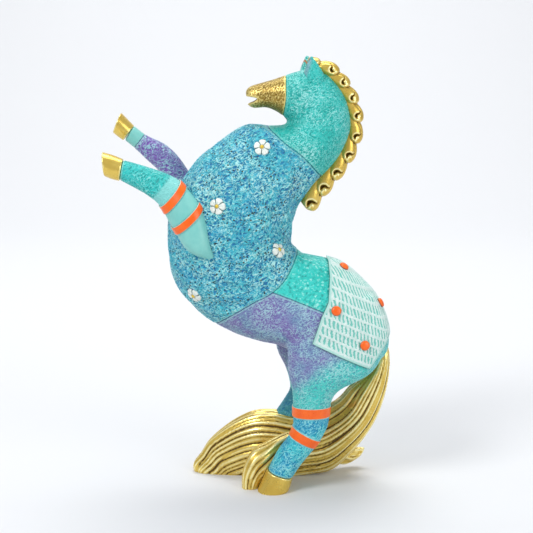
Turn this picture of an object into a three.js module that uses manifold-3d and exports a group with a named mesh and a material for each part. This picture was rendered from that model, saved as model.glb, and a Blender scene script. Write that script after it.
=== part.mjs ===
// Rearing horse figurine in painted cast resin, about 300 mm tall.
// Millimetres, +Z up. The horse looks towards -X and its near side faces -Y.

import * as THREE from 'three';
import { mergeVertices } from 'three/addons/utils/BufferGeometryUtils.js';
import Module from 'manifold-3d';

const wasm = await Module();
wasm.setup();

// Fits between the cast and applied pieces
const seatGap = 0.3;
const seamGap = 0.3;

// Whole figurine, hoof to tail and floor to ear tips
const figureLength = 198.5;
const figureHeight = 301;

// Lateral size of the horse: half widths and how far each leg stands off the middle
const barrelHalfWidth = 39;
const waistHalfWidth = 30;
const rumpHalfWidth = 36;
const neckHalfWidth = 20;
const cheekHalfWidth = 17;
const muzzleHalfWidth = 8.5;
const hindLegOffset = rumpHalfWidth - 12;
const hockHalfWidth = 11;
const foreLegOffset = barrelHalfWidth * 0.615;
const foreArmOffset = barrelHalfWidth * 0.87;
const foreArmHalfWidth = 10.5;
const foreCannonHalfWidth = 7.5;

// Applied flowers
const daisyDiameter = 11;
const daisyPetals = 5;
const daisyThickness = 1.8;
const daisyBudDiameter = 2.8;
const daisyBudHeight = 0.9;

// How far below the skin a flower or stud starts before the skin is cut out of it
const seatDepth = 1.6;

// Studs and the raised cloth on the rump
const studDiameter = 7;
const studHeight = 2.1;
const studFoot = 0.6;
const blanketThickness = 1.5;

// Sunk rows of stitches in the cloth, level with its lower edge
const stitchRows = 5;
const stitchRowPitch = 8.2;
const stitchRowWidth = 5.6;
const stitchDepth = 0.4;

// Cast relief of the barrel: how high its swells stand and how many run along and round it
const swellHeight = 0.8;
const swellsAlong = 13;
const swellsRound = 10;
const swellFrom = 0.27;
const swellTo = 0.66;

// Raised bands round the legs
const foreBandWidth = 5.4;
const hindUpperBandWidth = 7.4;
const hindLowerBandWidth = 6.8;
const bandThickness = 0.8;

// Steel wires cast into the legs
const wireDiameter = 3;
const wireClearance = 0.3;

// Mane
const lockCount = 10;
const lockHalfWidth = 6.5;
const lockReach = 9.5;
const firstCurl = 16.4;
const lockPitch = 10.2;
const lockSpread = 0.29;
const firstLockSize = 0.95;
const lockSizeSlope = -0.02;
const lockSizeBend = 0.0095;
const forelockBack = 9.5;
const forelockSize = 0.75;
const curlRadius = 1.7;
const curlSpread = 0.72;

// Tail
const tailRidges = 7;
const tailRidgeDepth = 0.07;
const tailTwist = 0.9;
const tailLobeRidges = 4;
const tailLobeTwist = 0.5;

// Mouth: where its front edge meets the profile, how deep and how wide it opens
const mouthFront = -14.6;
const mouthHeight = 270.9;
const mouthDepth = 9.5;
const mouthOpening = 6.4;

// The tables of places below are drawn for a figurine 198.5 long and 301 tall, and stretch
// from there to the size of the figurine
const lengthwise = figureLength / 198.5;
const upward = figureHeight / 301;
const stretch = ([x, z]) => [x * lengthwise, z * upward];
const stretchAll = (rows) => rows.map(stretch);
const stretchStations = (rows) => rows.map(([fx, fz, bx, bz, width, y]) => {
  return [...stretch([fx, fz]), ...stretch([bx, bz]), width, y];
});
const cutAt = (point, tilt) => {
  const [x, z] = stretch(point);
  return { x, z, tilt };
};

// Each station of a loft: front point x z, back point x z, half width, middle y.
// Front means the chin, chest and belly side of the horse, back the crest and spine side.
const headStations = stretchStations([
  [-13.4, 268.2, -14.2, 277.4, muzzleHalfWidth * 0.55, 0],
  [-11.3, 266.6, -12.2, 279.8, muzzleHalfWidth * 0.86, 0],
  [-7.9, 265.5, -8.6, 281.4, muzzleHalfWidth, 0],
  [-0.7, 266.2, -0.3, 283.7, muzzleHalfWidth + 1.5, 0],
  [6.3, 263.7, 6.5, 285.7, cheekHalfWidth - 5, 0],
  [12.4, 259.5, 12.3, 287.8, cheekHalfWidth - 3, 0],
  [14.8, 256.7, 22.2, 290.8, cheekHalfWidth - 1, 0],
  [18.9, 252.6, 31.1, 292.5, cheekHalfWidth, 0],
  [27.2, 251.9, 40.7, 287.4, cheekHalfWidth, 0],
  [35.4, 256.1, 46.2, 279.3, cheekHalfWidth - 3, 0],
]);

const trunkStations = stretchStations([
  [22.3, 279.3, 35.2, 291.9, neckHalfWidth - 10, 0],
  [23.0, 268.4, 44.1, 286.4, neckHalfWidth - 5, 0],
  [18.9, 260.2, 53.8, 273.2, neckHalfWidth - 2, 0],
  [12.0, 254.0, 57.9, 256.7, neckHalfWidth, 0],
  [1.0, 253.3, 55.8, 244.7, neckHalfWidth + 2, 0],
  [-14.6, 254.0, 48.7, 230.9, neckHalfWidth + 6, 0],
  [-30.6, 243.8, 35.0, 215.6, barrelHalfWidth - 8, 0],
  [-48.7, 228.5, 21.9, 199.9, barrelHalfWidth - 3, 0],
  [-65.6, 200.4, 18.1, 185.2, barrelHalfWidth, 0],
  [-68.0, 179.6, 16.7, 175.3, barrelHalfWidth, 0],
  [-67.0, 155.6, 18.9, 169.7, barrelHalfWidth - 2, 0],
  [-58.4, 136.4, 23.4, 165.4, waistHalfWidth + 4, 0],
  [-43.6, 120.8, 30.0, 163.2, waistHalfWidth + 1, 0],
  [-24.3, 109.4, 39.6, 161.6, waistHalfWidth, 0],
  [-6.0, 103.2, 51.6, 157.6, waistHalfWidth + 2, 0],
  [10.2, 99.6, 64.4, 147.4, rumpHalfWidth - 1, 0],
  [25.1, 89.4, 77.0, 133.2, rumpHalfWidth, 0],
  [45.0, 83.5, 84.0, 117.5, rumpHalfWidth - 3, 0],
  [63.4, 82.5, 86.2, 104.2, rumpHalfWidth * 0.69, 0],
  [76.5, 88.0, 85.2, 96.2, rumpHalfWidth * 0.33, 0],
]);

const nearHindStations = stretchStations([
  [26, 138, 72, 138, 8, hindLegOffset - 7],
  [16, 112, 83, 112, 14, hindLegOffset - 3],
  [14.9, 88.1, 74.5, 87, 15, hindLegOffset - 1],
  [17.7, 73.8, 51, 73.2, hockHalfWidth + 1.5, hindLegOffset],
  [18.4, 63.8, 44.8, 63.8, hockHalfWidth + 0.5, hindLegOffset],
  [18.4, 55.9, 43.8, 55.9, hockHalfWidth, hindLegOffset],
  [18.6, 47.5, 42.1, 46, hockHalfWidth - 0.5, hindLegOffset],
  [15.5, 39.5, 35.3, 33.5, hockHalfWidth - 1, hindLegOffset],
  [8, 29, 25.2, 20.6, hockHalfWidth - 1.5, hindLegOffset],
  [1.1, 15, 17.7, 9.5, hockHalfWidth - 1, hindLegOffset],
]);

const nearHindHoofStations = stretchStations([
  [0.3, 15.3, 18.2, 9.2, hockHalfWidth - 0.5, hindLegOffset],
  [-3.2, 7.6, 16.9, 3.6, hockHalfWidth + 0.6, hindLegOffset],
  [-7.4, -2, 14, -3, hockHalfWidth + 1.4, hindLegOffset],
]);

// The far hind leg steps further forward and bends higher
const farHindStations = stretchStations([
  [22, 138, 68, 138, 8, hindLegOffset - 7],
  [9, 112, 79, 112, 14, hindLegOffset - 3],
  [7.2, 93, 71, 91, 15, hindLegOffset - 1],
  [13.8, 77.5, 48, 77, hockHalfWidth + 1.5, hindLegOffset],
  [16.6, 68, 43.5, 66.5, hockHalfWidth + 0.5, hindLegOffset],
  [17.0, 60.5, 41, 57, hockHalfWidth, hindLegOffset],
  [12.8, 52.8, 35.5, 47, hockHalfWidth - 0.5, hindLegOffset],
  [8.1, 45.7, 28.5, 38.5, hockHalfWidth - 1, hindLegOffset],
  [-2.5, 30, 15.5, 22, hockHalfWidth - 1.5, hindLegOffset],
  [-12, 15.5, 4.6, 10, hockHalfWidth - 1, hindLegOffset],
]);

const farHindHoofStations = stretchStations([
  [-12.8, 15.8, 5.1, 9.7, hockHalfWidth - 0.5, hindLegOffset],
  [-16.3, 8, 3.8, 4, hockHalfWidth + 0.6, hindLegOffset],
  [-20.5, -2, 0.9, -3, hockHalfWidth + 1.4, hindLegOffset],
]);

const nearForeStations = stretchStations([
  [-39.5, 166.2, -34.6, 167.6, 4, foreArmOffset + 1],
  [-49.7, 169.7, -37.2, 177.2, foreArmHalfWidth - 2.5, foreArmOffset + 1],
  [-56.2, 175.3, -39.4, 189.3, foreArmHalfWidth - 0.5, foreArmOffset],
  [-61.1, 183.7, -43.0, 200.5, foreArmHalfWidth, foreArmOffset - 1.5],
  [-65.8, 191.0, -50.0, 210.0, foreArmHalfWidth - 0.5, foreArmOffset - 3],
  [-71.5, 201.0, -58.0, 218.4, foreArmHalfWidth - 1.5, foreArmOffset - 6],
  [-79.6, 208.0, -67.4, 223.4, foreCannonHalfWidth + 0.5, foreLegOffset + 2],
  [-88.8, 213.2, -82.1, 228.2, foreCannonHalfWidth, foreLegOffset],
  [-99.3, 218.7, -96.8, 232.3, foreCannonHalfWidth, foreLegOffset - 1],
]);

const nearForeHoofStations = stretchStations([
  [-98.9, 217.9, -96.4, 232.6, foreCannonHalfWidth + 0.6, foreLegOffset - 1],
  [-104.3, 219.2, -103.5, 235.4, foreCannonHalfWidth + 1.4, foreLegOffset - 1],
  [-109.4, 221.3, -110.8, 237.6, foreCannonHalfWidth + 1.8, foreLegOffset - 1],
]);

const farForeStations = stretchStations([
  [-37, 171, -31, 174.5, 4, foreArmOffset + 1],
  [-50, 178, -36, 189, foreArmHalfWidth - 2.5, foreArmOffset + 1],
  [-60, 190, -44, 203, foreArmHalfWidth - 0.5, foreArmOffset - 1],
  [-68, 203, -53, 215, foreArmHalfWidth - 0.5, foreArmOffset - 3],
  [-76, 218.4, -62.5, 229.5, foreArmHalfWidth - 1.5, foreArmOffset - 6],
  [-84, 226.6, -72, 238.6, foreCannonHalfWidth + 0.8, foreLegOffset + 2],
  [-92.2, 235, -84.5, 245, foreCannonHalfWidth, foreLegOffset],
  [-100, 241.6, -93.2, 251.8, foreCannonHalfWidth - 0.3, foreLegOffset - 1],
]);

const farForeHoofStations = stretchStations([
  [-100.6, 241.2, -93.2, 251.6, foreCannonHalfWidth + 0.4, foreLegOffset - 1],
  [-104.2, 243.8, -97.8, 256.4, foreCannonHalfWidth + 1.2, foreLegOffset - 1],
  [-108.1, 246.9, -102.3, 261, foreCannonHalfWidth + 1.6, foreLegOffset - 1],
]);

const tailStations = stretchStations([
  [77.5, 89, 85.5, 102, 5, 0],
  [74.5, 81.5, 87.4, 91, 7.5, 0],
  [67.5, 74.5, 86.2, 75.5, 10.5, 1.5],
  [59.5, 67, 82.8, 57.5, 13, 4],
  [53, 58.5, 75.6, 38.5, 15, 7],
  [45.5, 52, 64, 20, 15.5, 12],
  [33, 46, 48, 2.5, 16.5, 17],
  [19, 43, 28, -3, 17.5, 18],
  [5, 45.2, 12, -7, 18, 19],
  [-9, 44.2, -1, -10, 17, 19.5],
  [-22, 38.2, -8, -12, 15.5, 20.5],
  [-33.5, 30, -13, -14, 13.5, 21],
  [-42, 22.3, -16, -15, 12, 21],
  [-47.4, 13.6, -18, -15.5, 11, 20.5],
  [-53.2, 5.5, -20, -16, 9.5, 20],
  [-52.4, -3, -24, -16.5, 6, 20],
]);

const frontLobeStations = stretchStations([
  [22, 20, 24, 39, 7, -3],
  [11, 12, 10, 35.5, 8.5, -8],
  [3, 5, 0.5, 32, 9.5, -12],
  [-3, 2, -8.5, 28, 9, -15],
  [-5.5, -1, -14, 20.5, 8, -17],
  [-7, -4, -17.2, 10, 6.5, -18],
  [-8.5, -8, -17.5, -3, 4.5, -19],
]);

const rearCurlStations = stretchStations([
  [48, 6, 56, 21, 7, 20],
  [57, 3.5, 63, 16, 5.5, 25],
  [64, 5, 68.5, 15, 4.2, 28],
  [69.5, 8.5, 72.5, 14.5, 2, 29],
]);

const farLobeStations = stretchStations([
  [-12, 20, -9, 35.5, 7, 26],
  [-24, 13, -20.5, 33.5, 7, 28],
  [-34, 10, -30.5, 29, 5.5, 28],
  [-40.5, 11, -37, 21, 2.5, 27],
]);

const earStations = stretchStations([
  [24.8, 284, 39.5, 281, 6.4, 0],
  [25.6, 290.5, 39.0, 288.4, 5.8, 0],
  [27.4, 296, 35.4, 294.8, 3.8, 0],
  [29.8, 301, 31.2, 300.8, 0.9, 0],
]);
const earOffset = 8.5;
const farEarForward = 2.5;

// Painted and moulded borders on the cast body, as points x z seen from the near side
const muzzleSeam = stretchAll([[12.7, 300], [13.2, 275], [11.6, 262], [10.4, 256.2]]);
const neckSeam = stretchAll([
  [-8, 259.5], [-3, 255.8], [3.7, 251.1], [13.2, 242.9],
  [24.8, 234.1], [37.1, 220], [43, 211],
]);
const barrelSeam = stretchAll([
  [28, 178], [22.9, 169.1], [13.4, 151.7], [3.8, 141.9],
  [-11.3, 133.5], [-30.7, 120.2], [-47, 106],
]);
const loinSeam = stretchAll([[-6, 146], [3.8, 142.4], [38.6, 129.2], [52, 124]]);
const croupSeam = stretchAll([
  [42, 176], [47, 161], [48.4, 150], [47, 134], [46.4, 118], [50, 106],
  [46.6, 95.6], [36.8, 86.8], [27.2, 79.7], [16.9, 73.3], [0, 64],
]);
const blanketOutline = stretchAll([
  [33, 176], [38.4, 166.6], [42.6, 161.1], [43.2, 152.1], [42, 136.2], [37.3, 126.4],
  [31.2, 107.6], [52, 98.2], [71, 89.6], [83.9, 112.2], [110, 118], [110, 176],
]);

const stitchedOutline = stretchAll([
  [42, 172], [46, 161], [46.4, 152], [45.2, 136], [40.2, 126], [35.4, 109.4],
  [52.8, 101.5], [69.6, 94], [81.4, 114.8], [110, 121], [110, 172],
]);

// Cuts across the legs, each a point x z and the tilt of the cut from level in degrees
const hindBandUpperCut = cutAt([31, 58], 0);
const hindBandLowerCut = cutAt([27.5, 38.4], -28);
const nearHindHoofCut = cutAt([9.4, 12.4], -18.5);
const farHindHoofCut = cutAt([-3.7, 12.7], -18.5);
const farHindCut = cutAt([29, 60], -10);
const foreBandUpperCut = cutAt([-63.6, 208.2], 50);
const foreBandLowerCut = cutAt([-54.2, 194], 42);
const nearForeHoofCut = cutAt([-98, 225.4], 80);
const farForeArmCut = cutAt([-56.5, 204], 35);
const farForeCollarCut = cutAt([-89.4, 241.1], 51);
const farForeHoofCut = cutAt([-97, 246.6], 53);

// Ornament places x z on the side of the body, and near the spine as a share of the way
// along the trunk and the angles round from the spine on the near and the far side
const daisyPlaces = stretchAll([[-3, 240.9], [-32.7, 202.5], [7.8, 171.1], [-49.4, 139.3]]);
const sideStudPlaces = stretchAll([[47.4, 130.8], [67.1, 106.8]]);
const ridgeStudPlaces = [[0.744, 14, 40], [0.851, 15.5, 40]];

// How far cutting shapes reach past the figurine: to each side, across a leg, along a leg,
// and to the front, the rear, the top and the floor of the whole
const cutReach = 60;
const acrossLeg = 45;
const alongLeg = 90;
const forwardEdge = -140;
const rearEdge = 120;
const topEdge = 300;
const floorEdge = -20;
const rayStart = 150;

// Solids and geometries

function toSolid(geometry) {
  geometry.deleteAttribute('normal');
  geometry.deleteAttribute('uv');
  const merged = mergeVertices(geometry, 1e-4);
  const vertProperties = new Float32Array(merged.attributes.position.array);
  const triVerts = new Uint32Array(merged.index.array);
  return new wasm.Manifold(new wasm.Mesh({ numProp: 3, vertProperties, triVerts }));
}

function toGeometry(solid) {
  const mesh = solid.getMesh();
  const geometry = new THREE.BufferGeometry();
  const corners = new Float32Array(mesh.vertProperties);
  geometry.setAttribute('position', new THREE.BufferAttribute(corners, 3));
  geometry.setIndex(new THREE.BufferAttribute(new Uint32Array(mesh.triVerts), 1));
  geometry.computeVertexNormals();
  return geometry;
}

function joinAll(solids) {
  return solids.reduce((whole, solid) => whole.add(solid));
}

// Values of a station row at any place along the loft, through a spline for each pair
function stationSpline(stations) {
  const through = (points) => new THREE.CatmullRomCurve3(points, false, 'catmullrom');
  const front = through(stations.map((s) => new THREE.Vector3(s[0], 0, s[1])));
  const back = through(stations.map((s) => new THREE.Vector3(s[2], 0, s[3])));
  const width = through(stations.map((s) => new THREE.Vector3(s[4], s[5], 0)));
  return (t) => ({
    front: front.getPoint(t),
    back: back.getPoint(t),
    width: width.getPoint(t),
  });
}

// Closed skin over rings that run from a front point to a back point.
// side is -1 for the near side and 1 for the far side, grow moves the skin outwards.
function loft(stations, options = {}) {
  const { rings = 24, sides = 20, grow = 0, side = 1, fullness = 2.2, ridge = null } = options;
  const at = stationSpline(stations);
  const positions = [];
  const ends = [];
  for (let i = 0; i <= rings; i++) {
    const station = at(i / rings);
    const middle = station.front.clone().add(station.back).multiplyScalar(0.5);
    middle.y = station.width.y * side;
    const depth = station.back.clone().sub(station.front);
    const halfDepth = depth.length() / 2 + grow;
    depth.normalize();
    const halfWidth = station.width.x + grow;
    for (let j = 0; j < sides; j++) {
      const angle = (2 * Math.PI * j) / sides;
      const c = Math.cos(angle);
      const s = Math.sin(angle);
      const swell = (Math.abs(c) ** fullness + Math.abs(s) ** fullness) ** (-1 / fullness);
      const bump = ridge ? ridge(i / rings, angle) : 1;
      const point = middle.clone().addScaledVector(depth, halfDepth * c * swell * bump);
      point.y += halfWidth * s * swell * bump;
      positions.push(point.x, point.y, point.z);
    }
    if (i === 0 || i === rings) {
      ends.push(middle);
    }
  }
  for (const end of ends) {
    positions.push(end.x, end.y, end.z);
  }
  const first = (rings + 1) * sides;
  const index = [];
  for (let j = 0; j < sides; j++) {
    const next = (j + 1) % sides;
    for (let i = 0; i < rings; i++) {
      const a = i * sides + j;
      const b = i * sides + next;
      index.push(a, a + sides, b + sides, a, b + sides, b);
    }
    const last = rings * sides;
    index.push(first, j, next, first + 1, last + next, last + j);
  }
  const geometry = new THREE.BufferGeometry();
  geometry.setAttribute('position', new THREE.Float32BufferAttribute(positions, 3));
  geometry.setIndex(index);
  return toSolid(faceOut(geometry));
}

// Turn the faces round when they point inwards
function faceOut(geometry) {
  const position = geometry.attributes.position;
  const index = geometry.index.array;
  const corner = [new THREE.Vector3(), new THREE.Vector3(), new THREE.Vector3()];
  let volume = 0;
  for (let k = 0; k < index.length; k += 3) {
    corner.forEach((v, n) => v.fromBufferAttribute(position, index[k + n]));
    volume += corner[0].dot(corner[1].cross(corner[2]));
  }
  if (volume < 0) {
    for (let k = 0; k < index.length; k += 3) {
      const swap = index[k];
      index[k] = index[k + 1];
      index[k + 1] = swap;
    }
  }
  return geometry;
}

// Upright slab through the horse from an outline in x and z, between two y values
function prism(outline, yFrom = -cutReach, yTo = cutReach) {
  const shape = new THREE.Shape(outline.map(([x, z]) => new THREE.Vector2(x, z)));
  const geometry = new THREE.ExtrudeGeometry(shape, { depth: yTo - yFrom, bevelEnabled: false });
  geometry.rotateX(Math.PI / 2);
  geometry.translate(0, yTo, 0);
  return toSolid(geometry);
}

function smoothLine(points, steps) {
  const spline = new THREE.SplineCurve(points.map(([x, z]) => new THREE.Vector2(x, z)));
  return spline.getPoints(steps).map((p) => [p.x, p.y]);
}

// Thin blade that parts two pieces along a border
function blade(line) {
  const left = [];
  const right = [];
  line.forEach(([x, z], i) => {
    const before = line[Math.max(i - 1, 0)];
    const after = line[Math.min(i + 1, line.length - 1)];
    const length = Math.hypot(after[0] - before[0], after[1] - before[1]);
    const nx = (-(after[1] - before[1]) / length) * (seamGap / 2);
    const nz = ((after[0] - before[0]) / length) * (seamGap / 2);
    left.push([x + nx, z + nz]);
    right.unshift([x - nx, z - nz]);
  });
  return prism([...left, ...right]);
}

// Slab across a leg, centred on a cut, between two distances along the leg
function crossSlab(cut, from, to, yFrom = -cutReach, yTo = cutReach) {
  const tilt = THREE.MathUtils.degToRad(cut.tilt);
  const corner = (across, along) => [
    cut.x + across * Math.cos(tilt) - along * Math.sin(tilt),
    cut.z + across * Math.sin(tilt) + along * Math.cos(tilt),
  ];
  const outline = [
    corner(-acrossLeg, from),
    corner(acrossLeg, from),
    corner(acrossLeg, to),
    corner(-acrossLeg, to),
  ];
  return prism(outline, yFrom, yTo);
}

// The cast body as one skin, grown outwards by a clearance or a thickness

// Swells run slantwise round the barrel and fade out at the neck and the loin
function barrelSwell(t, angle) {
  const fade = THREE.MathUtils.smoothstep(t, swellFrom, swellFrom + 0.06)
    * (1 - THREE.MathUtils.smoothstep(t, swellTo - 0.06, swellTo));
  const wave = Math.cos(2 * Math.PI * swellsAlong * t - swellsRound * angle);
  return 1 + (swellHeight / barrelHalfWidth) * fade * wave;
}

const trunk = (grow) => loft(trunkStations, {
  rings: 2 * swellsAlong,
  sides: 2 * swellsRound,
  grow,
  ridge: barrelSwell,
});
const head = (grow) => loft(headStations, { rings: 12, sides: 14, grow });
const nearHindLeg = (grow) => loft(nearHindStations, { rings: 14, sides: 12, side: -1, grow });
const farHindLeg = (grow) => loft(farHindStations, { rings: 14, sides: 12, grow });
const nearHindHoof = (grow) => loft(nearHindHoofStations, { rings: 2, sides: 14, side: -1, grow });
const farHindHoof = (grow) => loft(farHindHoofStations, { rings: 2, sides: 14, grow });

function bodySkin(grow) {
  return joinAll([trunk(grow), head(grow), nearHindLeg(grow), farHindLeg(grow)]);
}

const skin = bodySkin(0);
const seatSkin = bodySkin(seatGap);

const nearForeLeg = (grow) => loft(nearForeStations, { rings: 13, sides: 12, side: -1, grow });
const farForeLeg = (grow) => loft(farForeStations, { rings: 13, sides: 12, grow });

const parts = [];

function addPart(name, solid, color, roughness, metalness = 0) {
  const material = new THREE.MeshStandardMaterial({ color, roughness, metalness });
  const mesh = new THREE.Mesh(toGeometry(solid), material);
  mesh.name = name;
  parts.push(mesh);
}

const gold = 0xb8923a;
const turquoise = 0x2fb5a8;
const aqua = 0x3f9fb4;
const purple = 0x8078b8;
const mint = 0xa5dacf;
const paleTurquoise = 0x7ccfc8;
const orange = 0xe8552d;
const white = 0xf3efe6;
const steel = 0x8b8d90;
const teal = 0x2d8f9c;

// Steel wires that carry the thin legs

function legWire(stations, side, from, to, grow) {
  const at = stationSpline(stations);
  const points = [];
  const count = 8;
  for (let i = 0; i <= count; i++) {
    const station = at(from + ((to - from) * i) / count);
    points.push(new THREE.Vector3(
      (station.front.x + station.back.x) / 2,
      station.width.y * side,
      (station.front.z + station.back.z) / 2,
    ));
  }
  const path = new THREE.CatmullRomCurve3(points);
  if (grow > 0) {
    const ends = [points[0].clone().sub(points[1]), points[count].clone().sub(points[count - 1])];
    points[0].addScaledVector(ends[0].normalize(), grow);
    points[count].addScaledVector(ends[1].normalize(), grow);
  }
  const ring = new THREE.Shape();
  ring.absarc(0, 0, wireDiameter / 2 + grow, 0, 2 * Math.PI);
  return toSolid(new THREE.ExtrudeGeometry(ring, {
    steps: 6,
    curveSegments: 2,
    bevelEnabled: false,
    extrudePath: path,
  }));
}

const wires = [
  { name: 'near_hind_armature', stations: nearHindStations, side: -1, from: 0.14, to: 0.97 },
  { name: 'far_hind_armature', stations: farHindStations, side: 1, from: 0.14, to: 0.97 },
  { name: 'near_fore_armature', stations: nearForeStations, side: -1, from: 0.3, to: 0.97 },
  { name: 'far_fore_armature', stations: farForeStations, side: 1, from: 0.3, to: 0.97 },
];
const wireHoles = joinAll(wires.map((w) => legWire(w.stations, w.side, w.from, w.to, wireClearance)));

// Patches of the cast body

const lines = {
  muzzle: smoothLine(muzzleSeam, 8),
  neck: smoothLine(neckSeam, 14),
  barrel: smoothLine(barrelSeam, 16),
  loin: smoothLine(loinSeam, 8),
  croup: smoothLine(croupSeam, 24),
};
const startOf = (line) => line[0];
const endOf = (line) => line[line.length - 1];

const muzzleRegion = prism([
  ...lines.muzzle,
  [forwardEdge, endOf(lines.muzzle)[1]],
  [forwardEdge, topEdge],
]);
const belowNeck = prism([
  ...lines.neck,
  [rearEdge, endOf(lines.neck)[1]],
  [rearEdge, floorEdge],
  [forwardEdge, floorEdge],
  [forwardEdge, startOf(lines.neck)[1]],
]);
const behindBarrel = prism([
  ...lines.barrel,
  [endOf(lines.barrel)[0], floorEdge],
  [rearEdge, floorEdge],
  [rearEdge, startOf(lines.barrel)[1]],
]);
const aboveLoin = prism([
  ...lines.loin,
  [endOf(lines.loin)[0], topEdge],
  [startOf(lines.loin)[0], topEdge],
]);
const behindCroup = prism([
  ...lines.croup,
  [forwardEdge, endOf(lines.croup)[1]],
  [forwardEdge, floorEdge],
  [rearEdge, floorEdge],
  [rearEdge, startOf(lines.croup)[1]],
]);

const parted = skin.subtract(wireHoles);
const headBody = parted.subtract(blade(lines.muzzle)).subtract(blade(lines.neck)).subtract(belowNeck);

// Wedge between the lips, deepest above the middle: shares of its depth and its opening
const mouthForm = [[-0.3, 0.5], [0.45, 0.42], [1, 0.25], [0.6, -0.15], [-0.3, -0.62]];
const [lipFront, lipHeight] = stretch([mouthFront, mouthHeight]);
const mouth = prism(mouthForm.map(([deep, high]) => [
  lipFront + deep * mouthDepth,
  lipHeight + high * mouthOpening,
]));

addPart('muzzle', headBody.intersect(muzzleRegion).subtract(mouth), gold, 0.35, 0.9);
addPart('head_and_neck', headBody.subtract(muzzleRegion), turquoise, 0.55);

const torso = parted.subtract(blade(lines.neck)).intersect(belowNeck);
const torsoFront = torso.subtract(blade(lines.barrel)).subtract(behindBarrel);
addPart('barrel', torsoFront, aqua, 0.6);

const rear = torso.subtract(blade(lines.barrel)).intersect(behindBarrel).subtract(blade(lines.croup));
const belly = rear.subtract(behindCroup).subtract(blade(lines.loin));
addPart('loin_panel', belly.intersect(aboveLoin), turquoise, 0.55);
addPart('flank_panel', belly.subtract(aboveLoin), purple, 0.6);

// A leg's length past a cut or before it, on the near side (-1) or the far side (1) only
const half = seamGap / 2;
const onSide = (cut, from, to, side) => {
  return crossSlab(cut, from, to, side < 0 ? -cutReach : 0, side < 0 ? 0 : cutReach);
};
const beyond = (cut, side) => onSide(cut, half, alongLeg, side);
const before = (cut, side) => onSide(cut, -alongLeg, -half, side);

const thighs = rear.intersect(behindCroup)
  .subtract(onSide(hindBandUpperCut, -alongLeg, half, -1))
  .subtract(onSide(farHindCut, -alongLeg, half, 1));
addPart('hindquarters', thighs, turquoise, 0.55);

const nearLeg = nearHindLeg(0).subtract(wireHoles);
const nearHock = nearLeg.intersect(before(hindBandUpperCut, -1)).intersect(beyond(hindBandLowerCut, -1));
const nearCannon = nearLeg.intersect(before(hindBandLowerCut, -1)).intersect(beyond(nearHindHoofCut, -1));
addPart('near_hind_hock', nearHock, teal, 0.6);
addPart('near_hind_cannon', nearCannon, teal, 0.6);

const farLeg = farHindLeg(0).subtract(wireHoles);
const farCannon = farLeg.intersect(before(farHindCut, 1)).intersect(beyond(farHindHoofCut, 1));
addPart('far_hind_cannon', farCannon, teal, 0.6);

const underFloor = prism([
  [forwardEdge, floorEdge],
  [rearEdge, floorEdge],
  [rearEdge, 0],
  [forwardEdge, 0],
]);
const nearHoof = nearHindHoof(0).intersect(before(nearHindHoofCut, -1)).subtract(underFloor);
const farHoof = farHindHoof(0).intersect(before(farHindHoofCut, 1)).subtract(underFloor);
addPart('near_hind_hoof', nearHoof.subtract(wireHoles), gold, 0.35, 0.9);
addPart('far_hind_hoof', farHoof.subtract(wireHoles), gold, 0.35, 0.9);

// Bands are rings of even thickness that follow the leg under them

function band(leg, cut, width) {
  const slab = onSide(cut, -width / 2, width / 2, -1);
  return leg(seatGap + bandThickness).intersect(slab).subtract(leg(seatGap));
}

const hindUpperBand = band(nearHindLeg, hindBandUpperCut, hindUpperBandWidth);
const hindLowerBand = band(nearHindLeg, hindBandLowerCut, hindLowerBandWidth);
addPart('near_hind_band_upper', hindUpperBand, orange, 0.35);
addPart('near_hind_band_lower', hindLowerBand, orange, 0.35);

// Forelegs

const nearFore = nearForeLeg(0).subtract(seatSkin).subtract(wireHoles);
const farFore = farForeLeg(0).subtract(seatSkin).subtract(wireHoles);

const nearElbow = nearFore.intersect(beyond(foreBandLowerCut, -1)).intersect(before(foreBandUpperCut, -1));
const nearForeCannon = nearFore
  .intersect(beyond(foreBandUpperCut, -1))
  .intersect(before(nearForeHoofCut, -1));
const foreUpperBand = band(nearForeLeg, foreBandUpperCut, foreBandWidth);
const foreLowerBand = band(nearForeLeg, foreBandLowerCut, foreBandWidth);
const nearForeHoof = loft(nearForeHoofStations, { rings: 2, sides: 14, side: -1 })
  .intersect(beyond(nearForeHoofCut, -1));
addPart('near_fore_arm', nearFore.intersect(before(foreBandLowerCut, -1)), paleTurquoise, 0.4);
addPart('near_fore_elbow', nearElbow, paleTurquoise, 0.4);
addPart('near_fore_cannon', nearForeCannon, turquoise, 0.55);
addPart('near_fore_band_upper', foreUpperBand.subtract(seatSkin), orange, 0.35);
addPart('near_fore_band_lower', foreLowerBand.subtract(seatSkin), orange, 0.35);
addPart('near_fore_hoof', nearForeHoof.subtract(wireHoles), gold, 0.35, 0.9);

const farForeCannon = farFore.intersect(beyond(farForeArmCut, 1)).intersect(before(farForeCollarCut, 1));
const farForeCollar = farFore.intersect(beyond(farForeCollarCut, 1)).intersect(before(farForeHoofCut, 1));
const farForeHoof = loft(farForeHoofStations, { rings: 2, sides: 14 })
  .intersect(beyond(farForeHoofCut, 1));
addPart('far_fore_arm', farFore.intersect(before(farForeArmCut, 1)), paleTurquoise, 0.4);
addPart('far_fore_cannon', farForeCannon, purple, 0.6);
addPart('far_fore_collar', farForeCollar, paleTurquoise, 0.4);
addPart('far_fore_hoof', farForeHoof.subtract(wireHoles), gold, 0.35, 0.9);

for (const wire of wires) {
  addPart(wire.name, legWire(wire.stations, wire.side, wire.from, wire.to, 0), steel, 0.4, 1);
}

// Ears stand on the poll, one either side of the forelock

function earAt(dx) {
  return earStations.map(([fx, fz, bx, bz, w]) => [fx + dx, fz, bx + dx, bz, w, earOffset]);
}

const earLeaf = (side, dx, grow) => loft(earAt(dx), { rings: 5, sides: 10, side, grow });

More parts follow.
